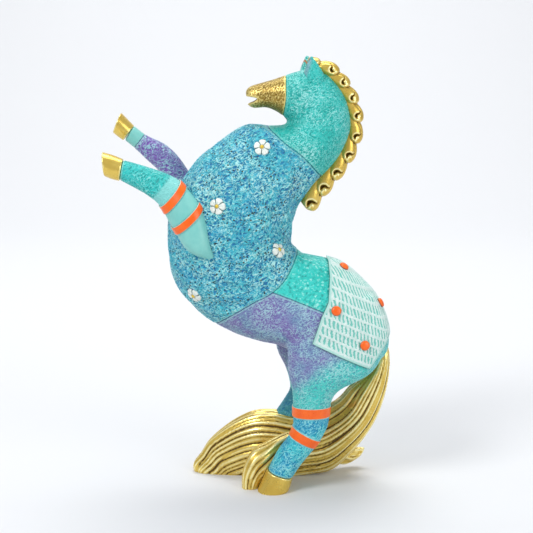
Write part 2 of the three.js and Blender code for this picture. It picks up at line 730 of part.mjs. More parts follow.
// The hollow is a smaller leaf, set forwards, upwards and towards the other ear
function ear(side, dx) {
  const hollowStations = earAt(dx).map(([fx, fz, bx, bz, w, y]) => {
    return [fx - 4, fz + 1, bx - 5.5, bz + 1, w * 0.62, y - 2];
  });
  const hollow = loft(hollowStations, { rings: 5, sides: 8, side });
  return earLeaf(side, dx, 0).subtract(hollow).subtract(seatSkin);
}

addPart('near_ear', ear(-1, 0), turquoise, 0.55);
addPart('far_ear', ear(1, -farEarForward), turquoise, 0.55);

// Rump cloth, raised over the croup

const overRump = prism(blanketOutline);

// Rows follow the straight lower edge of the cloth, the first just above it
function stitchRow(number) {
  const [from, to] = [blanketOutline[6], blanketOutline[8]];
  const length = Math.hypot(to[0] - from[0], to[1] - from[1]);
  const along = [(to[0] - from[0]) / length, (to[1] - from[1]) / length];
  const low = (stitchRowPitch - stitchRowWidth) + number * stitchRowPitch;
  const corner = (way, rise) => [
    from[0] + along[0] * way - along[1] * rise,
    from[1] + along[1] * way + along[0] * rise,
  ];
  return prism([
    corner(-cutReach, low),
    corner(2 * cutReach, low),
    corner(2 * cutReach, low + stitchRowWidth),
    corner(-cutReach, low + stitchRowWidth),
  ]);
}

const rows = joinAll(Array.from({ length: stitchRows }, (_, i) => stitchRow(i)));
const sunkSkin = bodySkin(seatGap + blanketThickness - stitchDepth);
const cloth = bodySkin(seatGap + blanketThickness)
  .intersect(overRump)
  .subtract(rows.intersect(prism(stitchedOutline)).subtract(sunkSkin))
  .subtract(seatSkin);
addPart('rump_blanket', cloth, mint, 0.7);

// Mane: a ridge along the crest that carries a row of scrolled locks

const [pollX, pollZ] = stretch([27.5, 292.2]);
const poll = new THREE.Vector3(pollX, 0, pollZ);
const crestPoints = trunkStations.slice(0, 9).map((s) => new THREE.Vector3(s[2], 0, s[3]));
const crest = new THREE.CatmullRomCurve3([poll, ...crestPoints], false, 'catmullrom');
const crestLength = crest.getLength();

function crestFrame(distance) {
  const share = THREE.MathUtils.clamp(distance / crestLength, 0, 1);
  const here = crest.getPointAt(share);
  const down = crest.getTangentAt(share);
  const out = new THREE.Vector3(-down.z, 0, down.x);
  return { here: here.addScaledVector(down, distance - share * crestLength), down, out };
}

// Form of one lock, from its root to its curl: inner and outer edge of the comma, each as
// shares of the pitch down the crest and of the reach out, and a share of the half width
const lockForm = [
  [-1.42, -0.37, -1.42, 0.03, 0.55],
  [-1.03, -0.37, -1.13, 0.42, 0.72],
  [-0.54, -0.34, -0.69, 0.8, 0.9],
  [-0.14, -0.2, -0.2, 1, 1],
  [0.13, 0.03, 0.2, 0.93, 1],
  [0.28, 0.34, 0.38, 0.64, 0.6],
];
const curlPlace = [-0.02, 0.62];

function lock(curlDistance, size) {
  const place = (down, out) => {
    const frame = crestFrame(curlDistance + down * lockPitch * size);
    return frame.here.addScaledVector(frame.out, out * lockReach * size);
  };
  const stations = lockForm.map(([a, b, c, d, w]) => {
    const inner = place(a, b);
    const outer = place(c, d);
    return [inner.x, inner.z, outer.x, outer.z, lockHalfWidth * size * w, 0];
  });
  const comma = loft(stations, { rings: 5, sides: 8, fullness: 2 });
  const curlLength = 2 * lockHalfWidth * size * curlSpread;
  const curl = new THREE.CapsuleGeometry(curlRadius * size, curlLength, 1, 6);
  const at = place(...curlPlace);
  curl.translate(at.x, at.y, at.z);
  return comma.add(toSolid(curl));
}

// The locks grow and spread down the neck, after a small first one behind the ears
const lockDistance = (i) => firstCurl + lockPitch * i + lockSpread * i * i;
const lockSize = (i) => firstLockSize + lockSizeSlope * i + lockSizeBend * i * i;
const locks = [lock(firstCurl - forelockBack, forelockSize)];
for (let i = 0; i < lockCount - 1; i++) {
  locks.push(lock(lockDistance(i), lockSize(i)));
}
const earRoom = earLeaf(-1, 0, seatGap).add(earLeaf(1, -farEarForward, seatGap));
const mane = joinAll(locks).subtract(seatSkin).subtract(earRoom);
addPart('mane', mane, gold, 0.35, 0.9);

// Tail: strands sweep from the dock to the floor and forward between the hind legs

function strandRidge(count, twist) {
  return (t, angle) => 1 + tailRidgeDepth * Math.cos(count * angle + twist * 2 * Math.PI * t);
}

const tailSweep = loft(tailStations, {
  rings: 18,
  sides: 28,
  ridge: strandRidge(tailRidges, tailTwist),
});
const lobe = (stations) => loft(stations, {
  rings: 5,
  sides: 12,
  ridge: strandRidge(tailLobeRidges, tailLobeTwist),
});

// Room that the tail leaves for the legs, the hoofs, the cloth and the bands
const clothSeat = bodySkin(2 * seatGap + blanketThickness);
function bandRoom(cut, width) {
  const reach = width / 2 + seatGap;
  return nearHindLeg(2 * seatGap + bandThickness).intersect(onSide(cut, -reach, reach, -1));
}
const legRoom = joinAll([
  seatSkin,
  nearHindHoof(seatGap),
  farHindHoof(seatGap),
  clothSeat.intersect(overRump),
  bandRoom(hindBandUpperCut, hindUpperBandWidth),
  bandRoom(hindBandLowerCut, hindLowerBandWidth),
]);
const lobes = [frontLobeStations, rearCurlStations, farLobeStations].map(lobe);
const tail = joinAll([tailSweep, ...lobes]).subtract(underFloor).subtract(legRoom);
addPart('tail', tail, gold, 0.35, 0.9);

// Flowers and studs sit on the skin, square to it

const bothFaces = new THREE.MeshBasicMaterial({ side: THREE.DoubleSide });
const skinMesh = new THREE.Mesh(toGeometry(skin), bothFaces);
const clothMesh = new THREE.Mesh(toGeometry(cloth), bothFaces);

function besideBody([x, z], side) {
  const start = new THREE.Vector3(x, side * rayStart, z);
  return new THREE.Raycaster(start, new THREE.Vector3(0, -side, 0));
}

const trunkAt = stationSpline(trunkStations);

function aboveSpine([along, nearDegrees, farDegrees], side) {
  const { front, back } = trunkAt(along);
  const middle = front.clone().add(back).multiplyScalar(0.5);
  const angle = THREE.MathUtils.degToRad(side < 0 ? nearDegrees : farDegrees);
  const out = back.clone().sub(front).normalize().multiplyScalar(Math.cos(angle));
  out.y = side * Math.sin(angle);
  return new THREE.Raycaster(middle.addScaledVector(out, rayStart), out.clone().negate());
}

function seatOn(mesh, ray) {
  const hit = ray.intersectObject(mesh)[0];
  const normal = hit.face.normal.clone();
  if (normal.dot(ray.ray.direction) > 0) {
    normal.negate();
  }
  const turn = new THREE.Quaternion().setFromUnitVectors(new THREE.Vector3(0, 0, 1), normal);
  return new THREE.Matrix4().compose(hit.point, turn, new THREE.Vector3(1, 1, 1));
}

function daisyShape() {
  const radius = daisyDiameter / 2;
  const outline = [];
  const stepsPerPetal = 4;
  for (let i = 0; i < daisyPetals * stepsPerPetal; i++) {
    const turn = i / stepsPerPetal;
    const reach = radius * (0.74 + 0.26 * Math.abs(Math.cos(Math.PI * turn)) ** 0.6);
    const angle = (2 * Math.PI * turn) / daisyPetals;
    outline.push(new THREE.Vector2(reach * Math.cos(angle), reach * Math.sin(angle)));
  }
  return new THREE.Shape(outline);
}

function daisy(ray) {
  const petals = toSolid(new THREE.ExtrudeGeometry(daisyShape(), {
    depth: seatDepth + daisyThickness,
    bevelEnabled: false,
  }).translate(0, 0, -seatDepth));
  const bud = dome(daisyBudDiameter / 2, daisyBudHeight, daisyThickness, 6);
  return petals.add(bud).transform(seatOn(skinMesh, ray).elements).subtract(seatSkin);
}

// Low dome with a short straight foot under it
function dome(radius, height, foot, segments) {
  const profile = [
    new THREE.Vector2(0, -seatDepth),
    new THREE.Vector2(radius, -seatDepth),
    new THREE.Vector2(radius, foot),
  ];
  const steps = 3;
  for (let i = 1; i < steps; i++) {
    const angle = (Math.PI / 2) * (i / steps);
    profile.push(new THREE.Vector2(radius * Math.cos(angle), foot + height * Math.sin(angle)));
  }
  profile.push(new THREE.Vector2(0, foot + height));
  const turned = new THREE.LatheGeometry(profile, segments);
  turned.rotateX(Math.PI / 2);
  return toSolid(turned);
}

function stud(ray) {
  const body = dome(studDiameter / 2, studHeight - studFoot, studFoot, 10);
  return body.transform(seatOn(clothMesh, ray).elements).subtract(clothSeat);
}

for (const [sideName, side] of [['near', -1], ['far', 1]]) {
  const daisyRays = daisyPlaces.map((place) => besideBody(place, side));
  daisyRays.forEach((ray, i) => addPart(`${sideName}_daisy_${i + 1}`, daisy(ray), white, 0.5));
  const ridgeRays = ridgeStudPlaces.map((place) => aboveSpine(place, side));
  const sideRays = sideStudPlaces.map((place) => besideBody(place, side));
  [...ridgeRays, ...sideRays].forEach((ray, i) => {
    addPart(`${sideName}_stud_${i + 1}`, stud(ray), orange, 0.35);
  });
}

// The origin is on the floor under the middle of the figurine

const figure = new THREE.Group();
figure.add(...parts);
const bounds = new THREE.Box3().setFromObject(figure);
const middle = bounds.getCenter(new THREE.Vector3());
figure.position.set(-middle.x, -middle.y, -bounds.min.z);

const group = new THREE.Group();
group.add(figure);

export default group;
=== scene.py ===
# Rearing horse figurine in painted cast resin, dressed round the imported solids.
# Blender works in metres. The tables below are in millimetres, in the maker's own frame:
# the horse looks towards -X and its near side faces -Y.

import math

import bmesh
import bpy
import numpy as np
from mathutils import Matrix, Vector
from mathutils.bvhtree import BVHTree


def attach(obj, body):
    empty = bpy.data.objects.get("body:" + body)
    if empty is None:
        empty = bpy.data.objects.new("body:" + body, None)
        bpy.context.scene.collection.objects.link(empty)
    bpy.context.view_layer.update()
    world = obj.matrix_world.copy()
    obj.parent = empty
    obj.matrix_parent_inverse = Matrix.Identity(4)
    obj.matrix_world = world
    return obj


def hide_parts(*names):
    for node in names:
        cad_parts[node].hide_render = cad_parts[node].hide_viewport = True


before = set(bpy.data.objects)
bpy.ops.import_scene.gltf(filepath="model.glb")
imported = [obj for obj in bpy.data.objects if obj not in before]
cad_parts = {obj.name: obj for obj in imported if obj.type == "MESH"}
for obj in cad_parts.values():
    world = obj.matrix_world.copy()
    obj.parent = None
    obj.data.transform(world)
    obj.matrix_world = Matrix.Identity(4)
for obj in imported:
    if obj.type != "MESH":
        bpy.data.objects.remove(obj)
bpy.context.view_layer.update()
print("frame loaded:", len(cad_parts), "nodes")

mm = 0.001
figureShift = np.array([11.568, 0.371, 0.0])  # maker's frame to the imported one


def toRow(points):
    return (np.asarray(points, float) + figureShift) * mm


# Meshes

def linked(name, data):
    obj = bpy.data.objects.new(name, data)
    bpy.context.scene.collection.objects.link(obj)
    return obj


def smoothMesh(name, verts, faces):
    mesh = bpy.data.meshes.new(name)
    mesh.from_pydata(np.asarray(verts).tolist(), [], faces)
    mesh.shade_smooth()
    return linked(name, mesh)


def closedMesh(name, verts, faces):
    # Points in metres, faces turned outwards
    obj = smoothMesh(name, verts, faces)
    shell = bmesh.new()
    shell.from_mesh(obj.data)
    bmesh.ops.recalc_face_normals(shell, faces=shell.faces)
    shell.to_mesh(obj.data)
    shell.free()
    return obj


def settle(obj):
    # Turns the live modifiers into plain mesh
    bpy.context.view_layer.update()
    evaluated = obj.evaluated_get(bpy.context.evaluated_depsgraph_get())
    mesh = bpy.data.meshes.new_from_object(evaluated)
    obj.modifiers.clear()
    old = obj.data
    obj.data = mesh
    mesh.name = obj.name
    bpy.data.meshes.remove(old)
    return obj


def remeshed(obj, voxel, soften):
    # Voxel size in mm, then rounds of smoothing
    grid = obj.modifiers.new("grid", "REMESH")
    grid.mode = "VOXEL"
    grid.voxel_size = voxel * mm
    grid.use_smooth_shade = True
    smooth = obj.modifiers.new("soften", "SMOOTH")
    smooth.factor = 0.5
    smooth.iterations = soften
    return settle(obj)


def copyOf(obj, name):
    return linked(name, obj.data.copy())


def drop(*objects):
    for obj in objects:
        mesh = obj.data
        bpy.data.objects.remove(obj)
        bpy.data.meshes.remove(mesh)


def combine(obj, how, *others, last=False):
    # Boolean with each other object, which goes afterwards where this was its last use
    for other in others:
        cut = obj.modifiers.new("cut", "BOOLEAN")
        cut.operation = how
        cut.solver = "MANIFOLD"
        cut.object = other
        settle(obj)
    if last:
        drop(*others)
    return obj


def joined(name, *shells):
    verts, faces = [], []
    for points, sides in shells:
        start = len(verts)
        verts.extend(np.asarray(points).tolist())
        faces.extend([[start + k for k in face] for face in sides])
    return closedMesh(name, toRow(verts), faces)


def throughPoints(points, shares, runOn=True):
    # Catmull-Rom spline; runOn lets the end tangents follow the last two points
    p = np.asarray(points, float)
    first = 2 * p[0] - p[1] if runOn else p[0]
    last = 2 * p[-1] - p[-2] if runOn else p[-1]
    q = np.vstack([first, p, last])
    along = np.clip(np.asarray(shares, float), 0, 1) * (len(p) - 1)
    i = np.minimum(along.astype(int), len(p) - 2)
    w = (along - i)[:, None]
    a, b, c, d = q[i], q[i + 1], q[i + 2], q[i + 3]
    m, n = (c - a) / 2, (d - b) / 2
    return (2 * b - 2 * c + m + n) * w**3 + (3 * c - 3 * b - 2 * m - n) * w**2 + m * w + b


def loft(stations, rings, sides, grow=0.0, side=1, fullness=2.2, strands=None):
    # Closed skin over stations: front x z, back x z, half width, middle y
    s = np.array(stations, float)
    t = np.linspace(0, 1, rings + 1)
    front, back, width = (throughPoints(s[:, k:k + 2], t) for k in (0, 2, 4))
    middle = (front + back) / 2
    depth = back - front
    length = np.linalg.norm(depth, axis=1)
    depth /= length[:, None]
    angle = 2 * math.pi * np.arange(sides) / sides
    c, e = np.cos(angle), np.sin(angle)
    swell = (np.abs(c) ** fullness + np.abs(e) ** fullness) ** (-1 / fullness)
    bump = strands(t[:, None], angle[None, :]) if strands else np.zeros((rings + 1, sides))
    out = (length / 2 + grow)[:, None] * c * swell + bump * c
    wide = (width[:, 0] + grow)[:, None] * e * swell + bump * e
    x, z = (middle[:, k:k + 1] + depth[:, k:k + 1] * out for k in (0, 1))
    verts = np.stack([x, width[:, 1:2] * side + wide, z], axis=-1).reshape(-1, 3)
    verts = np.vstack([verts, [[middle[k, 0], width[k, 1] * side, middle[k, 1]] for k in (0, -1)]])
    first, last = (rings + 1) * sides, rings * sides
    faces = []
    for j in range(sides):
        k = (j + 1) % sides
        faces += [(i + j, i + sides + j, i + sides + k, i + k) for i in range(0, last, sides)]
        faces += [(first, j, k), (first + 1, last + k, last + j)]
    return verts, faces


def smoothLine(points, steps):
    return throughPoints(points, np.linspace(0, 1, steps + 1), runOn=False).tolist()


cutterReach = 60.0  # half width of what cuts the horse
slabReach = 45.0  # half length of a cut across a leg


def prism(name, outline, low=-cutterReach, high=cutterReach):
    n = len(outline)
    verts = [(x, y, z) for y in (low, high) for x, z in outline]
    faces = [list(range(n)), list(range(n, 2 * n))]
    faces += [(i, (i + 1) % n, n + (i + 1) % n, n + i) for i in range(n)]
    return closedMesh(name, toRow(verts), faces)


def crossSlab(name, cut, low, high, side):
    # Slice across a leg, from low to high along it
    x, z, tilt = legCuts[cut]
    c, s = math.cos(math.radians(tilt)), math.sin(math.radians(tilt))
    corners = [(-slabReach, low), (slabReach, low), (slabReach, high), (-slabReach, high)]
    outline = [(x + across * c - along * s, z + across * s + along * c) for across, along in corners]
    return prism(name, outline, min(side, 0) * cutterReach, max(side, 0) * cutterReach)


def vectorsOf(items, name):
    flat = np.empty(len(items) * 3)
    items.foreach_get(name, flat)
    return flat.reshape(-1, 3)


def pointsOf(obj):
    # Vertices in the maker's millimetres
    return vectorsOf(obj.data.vertices, "co") / mm - figureShift


def putPoints(obj, points):
    obj.data.vertices.foreach_set("co", toRow(points).ravel())
    obj.data.update()


def treeOf(obj):
    return BVHTree.FromPolygons([v.co for v in obj.data.vertices], [p.vertices for p in obj.data.polygons])


def mark(obj, name, values):
    layer = obj.data.attributes.new(name, "FLOAT", "POINT")
    layer.data.foreach_set("value", np.asarray(values, np.float32))


def lineDistance(points, *lines):
    # Shortest distance in x and z from each point to any of the border lines
    flat = points[:, [0, 2]]
    best = np.full(len(flat), np.inf)
    for line in lines:
        line = np.asarray(line, float)
        for a, b in zip(line[:-1], line[1:]):
            ab = b - a
            share = np.clip(((flat - a) @ ab) / (ab @ ab), 0, 1)
            best = np.minimum(best, np.linalg.norm(flat - a - share[:, None] * ab, axis=1))
    return best


def markCavity(obj, rounds, depth):
    # 1 where the surface lies about one depth under its surroundings, 0.5 where it is flat
    points = pointsOf(obj)
    flat = np.empty(len(obj.data.edges) * 2, np.int32)
    obj.data.edges.foreach_get("vertices", flat)
    a, b = flat.reshape(-1, 2).T
    counts = np.maximum(np.bincount(flat, minlength=len(points)), 1)
    mean = points
    for _ in range(rounds):
        sums = [np.bincount(a, way[b], len(points)) + np.bincount(b, way[a], len(points)) for way in mean.T]
        mean = np.stack(sums, axis=1) / counts[:, None]
    sunk = np.einsum("ij,ij->i", mean - points, vectorsOf(obj.data.vertex_normals, "vector"))
    mark(obj, "cavity", np.clip(0.5 + 0.5 * sunk / depth, 0, 1))


# Node trees: a field is a node's output, and sums of fields are written like sums of numbers

class Field:
    def __init__(self, sheet, socket):
        self.sheet, self.socket = sheet, socket

    def sum(self, how, *others):
        return self.sheet.add("ShaderNodeMath", (self, *others), operation=how)

    def __add__(self, other):
        return self.sum("ADD", other)

    def __sub__(self, other):
        return self.sum("SUBTRACT", other)

    def __mul__(self, other):
        return self.sum("MULTIPLY", other)

    def __truediv__(self, other):
        return self.sum("DIVIDE", other)

    def __abs__(self):
        return self.sum("ABSOLUTE")

    def map(self, low, high, toLow=0.0, toHigh=1.0, how="LINEAR"):
        return self.sheet.add("ShaderNodeMapRange", (self, low, high, toLow, toHigh), interpolation_type=how)

    def ease(self, low, high, toLow=0.0, toHigh=1.0):
        return self.map(low, high, toLow, toHigh, "SMOOTHSTEP")


class Sheet:
    # A node tree that is filled in node by node, with patterns that follow self.place
    def __init__(self, tree, place, out=0):
        self.tree = tree
        self.place = self.add(place, out=out)

    def feed(self, socket, value):
        # A value is a field, or a plain number, colour or name
        if isinstance(value, Field):
            self.tree.links.new(value.socket, socket)
        else:
            socket.default_value = value

    def add(self, kind, values=(), out=0, **settings):
        # Values go to the inputs in their order, or by name or number where they are a dictionary
        node = self.tree.nodes.new(kind)
        for key, value in settings.items():
            setattr(node, key, value)
        for key, value in values.items() if isinstance(values, dict) else enumerate(values):
            self.feed(node.inputs[key], value)
        return Field(self, node.outputs[out])

    def noise(self, scale, detail=2.0, rough=0.5, distortion=0.0, at=None, out=0):
        values = {"Scale": scale, "Detail": detail, "Roughness": rough, "Distortion": distortion}
        return self.add("ShaderNodeTexNoise", {"Vector": at or self.place, **values}, out)

    def cells(self, scale, at=None):
        return self.add("ShaderNodeTexVoronoi", {"Vector": at or self.place, "Scale": scale}, "Distance")

    def vectors(self, how, a, b):
        return self.add("ShaderNodeVectorMath", (a, b), operation=how)

    def scaled(self, way, length):
        return self.add("ShaderNodeVectorMath", {0: way, "Scale": length}, operation="SCALE")


class Paint(Sheet):
    # A material on the piece's own coordinates
    def __init__(self, name):
        self.material = bpy.data.materials.new(name)
        self.material.use_nodes = True
        super().__init__(self.material.node_tree, "ShaderNodeTexCoord", "Object")

    def marked(self, name):
        return self.add("ShaderNodeAttribute", out="Fac", attribute_name=name)

    def blend(self, share, a, b):
        return self.add("ShaderNodeMix", {0: share, 6: a, 7: b}, 2, data_type="RGBA")

    def bump(self, height, strength, deep=0.3):
        # Deep is the relief's height in millimetres
        return self.add("ShaderNodeBump", {"Strength": strength, "Distance": deep * mm, "Height": height})

    def shade(self, colour, roughness, **looks):
        names = {"metallic": "Metallic", "gloss": "Specular IOR Level", "normal": "Normal"}
        values = {"Base Color": colour, "Roughness": roughness, **{names[key]: looks[key] for key in looks}}
        for name, value in values.items():
            self.feed(self.tree.nodes["Principled BSDF"].inputs[name], value)
        return self.material


class Maker(Sheet):
    # A Geometry Nodes tree with named inputs, a finish among them
    def __init__(self, name, numbers=(), objects=()):
        tree = bpy.data.node_groups.new(name, "GeometryNodeTree")
        kinds = {
            "Geometry": "Geometry", **dict.fromkeys(numbers, "Float"), **dict.fromkeys(objects, "Object"),
            "Finish": "Material",
        }
        for label, kind in kinds.items():
            tree.interface.new_socket(label, in_out="INPUT", socket_type="NodeSocket" + kind)
        tree.interface.new_socket("Geometry", in_out="OUTPUT", socket_type="NodeSocketGeometry")
        super().__init__(tree, "GeometryNodeInputPosition")
        enter = tree.nodes.new("NodeGroupInput")
        self.enter = {label: Field(self, enter.outputs[label]) for label in kinds}

    def named(self, name, kind="FLOAT"):
        return self.add("GeometryNodeInputNamedAttribute", {"Name": name}, "Attribute", data_type=kind)

    def close(self, geometry):
        real = self.add("GeometryNodeRealizeInstances", [geometry])
        painted = self.add("GeometryNodeSetMaterial", {"Geometry": real, "Material": self.enter["Finish"]})
        self.feed(self.tree.nodes.new("NodeGroupOutput").inputs["Geometry"], painted)
        return self

    def pushed(self, rise):
        # Ends the tree with the piece's surface moved along its normals
        way = self.scaled(self.add("GeometryNodeInputNormal"), rise)
        values = {"Geometry": self.enter["Geometry"], "Offset": way}
        return self.close(self.add("GeometryNodeSetPosition", values))

    def run(self, obj, values):
        # Each input is set by its socket's identifier
        modifier = obj.modifiers.new(self.tree.name, "NODES")
        modifier.node_group = self.tree
        for item in self.tree.interface.items_tree:
            if item.in_out == "INPUT" and item.name in values:
                modifier[item.identifier] = values[item.name]
        return settle(obj)


def tint(*parts):
    # Screen colour 0 to 255 to linear
    shares = [part / 255 for part in parts]
    return (*[s / 12.92 if s <= 0.04045 else ((s + 0.055) / 1.055) ** 2.4 for s in shares], 1.0)


def coated(obj, material):
    obj.data.materials.clear()
    obj.data.materials.append(material)
    return obj


def dressed(obj, slot, *nodes):
    obj.data.name = obj.name
    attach(obj, "root")
    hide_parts(*nodes)
    print("made", obj.name, len(obj.data.polygons), "faces")


# Camera, floor and lights

cameraSetup = {
    "distance": 1000.0,
    "elevation": 10.0,
    "target": (0.0, 0.0, 155.148),
    "lens": 96.49,
    "sensor": 36.0,
    "seesTo": 20.0,  # metres
}


def aimedCamera(setup):
    data = bpy.data.cameras.new("photoCamera")
    data.lens = setup["lens"]
    data.sensor_width = setup["sensor"]
    data.clip_end = setup["seesTo"]
    camera = linked("photoCamera", data)
    lift = math.radians(setup["elevation"])
    back = np.array([0.0, -math.cos(lift), math.sin(lift)]) * setup["distance"]
    camera.location = toRow(np.array(setup["target"]) + back)
    camera.rotation_euler = (math.radians(90) - lift, 0.0, 0.0)
    bpy.context.scene.camera = camera


studio = {  # metres
    "floorHalf": 3.0,
    "sweepStart": 1.2,
    "sweepRadius": 1.5,
    "sweepHeight": 3.0,
    "sweepSteps": 16,
    "paper": {"Base Color": (0.69, 0.70, 0.715, 1), "Roughness": 0.75, "Specular IOR Level": 0.2},
    "world": {"Color": (0.93, 0.95, 1.0, 1), "Strength": 0.45},
    "lamps": {
        "keyBox": {"at": (-0.9, -1.0, 1.3), "aim": (0, 0, 0.15), "size": 0.6, "power": 17.0},
        "fillBox": {"at": (1.2, -1.1, 0.7), "aim": (0, 0, 0.15), "size": 1.0, "power": 10.5},
        "topBox": {"at": (0.1, 0.35, 1.5), "aim": (0, 0, 0.15), "size": 0.8, "power": 6.3},
        "sweepBox": {"at": (0, 1.0, 2.0), "aim": (0, 2.4, 0.3), "size": 1.5, "power": 33.0},
    },
}


def setAll(node, values):
    for key, value in values.items():
        node.inputs[key].default_value = value


def studioFloor(setup):
    half, radius = setup["floorHalf"], setup["sweepRadius"]
    profile = [(-half, 0.0), (setup["sweepStart"], 0.0)]
    for i in range(1, setup["sweepSteps"] + 1):
        turn = math.radians(90) * i / setup["sweepSteps"]
        profile.append((setup["sweepStart"] + radius * math.sin(turn), radius * (1 - math.cos(turn))))
    profile.append((setup["sweepStart"] + radius, setup["sweepHeight"]))
    verts = [(side, y, z) for y, z in profile for side in (-half, half)]
    faces = [(2 * i, 2 * i + 1, 2 * i + 3, 2 * i + 2) for i in range(len(profile) - 1)]
    floor = smoothMesh("studioFloor", verts, faces)
    material = bpy.data.materials.new("studioPaper")
    material.use_nodes = True
    setAll(material.node_tree.nodes["Principled BSDF"], setup["paper"])
    coated(floor, material)


def studioLights(setup):
    world = bpy.data.worlds.new("studioWorld")
    world.use_nodes = True
    setAll(world.node_tree.nodes["Background"], setup["world"])
    bpy.context.scene.world = world
    for name, lamp in setup["lamps"].items():
        data = bpy.data.lights.new(name, "AREA")
        data.shape = "SQUARE"
        data.size = lamp["size"]
        data.energy = lamp["power"]
        light = linked(name, data)
        light.location = lamp["at"]
        light.rotation_euler = (Vector(lamp["aim"]) - light.location).to_track_quat("-Z", "Y").to_euler()


aimedCamera(cameraSetup)
studioFloor(studio)
studioLights(studio)
bpy.context.scene.view_settings.view_transform = "Standard"
print("studio ready")


# The horse's form: front x z, back x z, half width, middle y

form = {
    "head": [
        [-13.4, 268.2, -14.2, 277.4, 4.7, 0], [-11.3, 266.6, -12.2, 279.8, 7.3, 0],
        [-7.9, 265.5, -8.6, 281.4, 8.5, 0], [-0.7, 266.2, -0.3, 283.7, 10, 0],
        [6.3, 263.7, 6.5, 285.7, 12, 0], [12.4, 259.5, 12.3, 287.8, 14, 0],
        [14.8, 256.7, 22.2, 290.8, 16, 0], [18.9, 252.6, 31.1, 292.5, 17, 0],
        [27.2, 251.9, 40.7, 287.4, 17, 0], [35.4, 256.1, 46.2, 279.3, 14, 0],
    ],
    "trunk": [
        [22.3, 279.3, 35.2, 291.9, 10, 0], [23.0, 268.4, 44.1, 286.4, 15, 0],
        [18.9, 260.2, 53.8, 273.2, 18, 0], [12.0, 254.0, 57.9, 256.7, 20, 0],
        [1.0, 253.3, 55.8, 244.7, 22, 0], [-14.6, 254.0, 48.7, 230.9, 26, 0],
        [-30.6, 243.8, 35.0, 215.6, 31, 0], [-48.7, 228.5, 21.9, 199.9, 36, 0],
        [-65.6, 200.4, 18.1, 185.2, 39, 0], [-68.0, 179.6, 16.7, 175.3, 39, 0],
        [-67.0, 155.6, 18.9, 169.7, 37, 0], [-58.4, 136.4, 23.4, 165.4, 34, 0],
        [-43.6, 120.8, 30.0, 163.2, 31, 0], [-24.3, 109.4, 39.6, 161.6, 30, 0],
        [-6.0, 103.2, 51.6, 157.6, 32, 0], [10.2, 99.6, 64.4, 147.4, 35, 0],
        [25.1, 89.4, 77.0, 133.2, 36, 0], [45.0, 83.5, 84.0, 117.5, 33, 0],
        [63.4, 82.5, 86.2, 104.2, 24.8, 0], [76.5, 88.0, 85.2, 96.2, 11.9, 0],
    ],
    "nearHind": [
        [26, 138, 72, 138, 8, 17], [16, 112, 83, 112, 14, 21],
        [14.9, 88.1, 74.5, 87, 15, 23], [17.7, 73.8, 51, 73.2, 12.5, 24],
        [18.4, 63.8, 44.8, 63.8, 11.5, 24], [18.4, 55.9, 43.8, 55.9, 11, 24],
        [18.6, 47.5, 42.1, 46, 10.5, 24], [15.5, 39.5, 35.3, 33.5, 10, 24],
        [8, 29, 25.2, 20.6, 9.5, 24], [1.1, 15, 17.7, 9.5, 10, 24],
    ],
    "nearHindHoof": [
        [0.3, 15.3, 18.2, 9.2, 10.5, 24], [-3.2, 7.6, 16.9, 3.6, 11.6, 24],
        [-7.4, -2, 14, -3, 12.4, 24],
    ],
    "farHind": [
        [22, 138, 68, 138, 8, 17], [9, 112, 79, 112, 14, 21],
        [7.2, 93, 71, 91, 15, 23], [13.8, 77.5, 48, 77, 12.5, 24],
        [16.6, 68, 43.5, 66.5, 11.5, 24], [17.0, 60.5, 41, 57, 11, 24],
        [12.8, 52.8, 35.5, 47, 10.5, 24], [8.1, 45.7, 28.5, 38.5, 10, 24],
        [-2.5, 30, 15.5, 22, 9.5, 24], [-12, 15.5, 4.6, 10, 10, 24],
    ],
    "farHindHoof": [
        [-12.8, 15.8, 5.1, 9.7, 10.5, 24], [-16.3, 8, 3.8, 4, 11.6, 24],
        [-20.5, -2, 0.9, -3, 12.4, 24],
    ],
    "nearFore": [
        [-39.5, 166.2, -34.6, 167.6, 4, 35], [-49.7, 169.7, -37.2, 177.2, 8, 35],
        [-56.2, 175.3, -39.4, 189.3, 10, 34], [-61.1, 183.7, -43.0, 200.5, 10.5, 32.5],
        [-65.8, 191.0, -50.0, 210.0, 10, 31], [-71.5, 201.0, -58.0, 218.4, 9, 28],
        [-79.6, 208.0, -67.4, 223.4, 8, 26], [-88.8, 213.2, -82.1, 228.2, 7.5, 24],
        [-99.3, 218.7, -96.8, 232.3, 7.5, 23],
    ],
    "nearForeHoof": [
        [-98.9, 217.9, -96.4, 232.6, 8.1, 23], [-104.3, 219.2, -103.5, 235.4, 8.9, 23],
        [-109.4, 221.3, -110.8, 237.6, 9.3, 23],
    ],
    "farFore": [
        [-37, 171, -31, 174.5, 4, 35], [-50, 178, -36, 189, 8, 35],
        [-60, 190, -44, 203, 10, 33], [-68, 203, -53, 215, 10, 31],
        [-76, 218.4, -62.5, 229.5, 9, 28], [-84, 226.6, -72, 238.6, 8.3, 26],
        [-92.2, 235, -84.5, 245, 7.5, 24], [-100, 241.6, -93.2, 251.8, 7.2, 23],
    ],
    "farForeHoof": [
        [-100.6, 241.2, -93.2, 251.6, 7.9, 23], [-104.2, 243.8, -97.8, 256.4, 8.7, 23],
        [-108.1, 246.9, -102.3, 261, 9.1, 23],
    ],
}

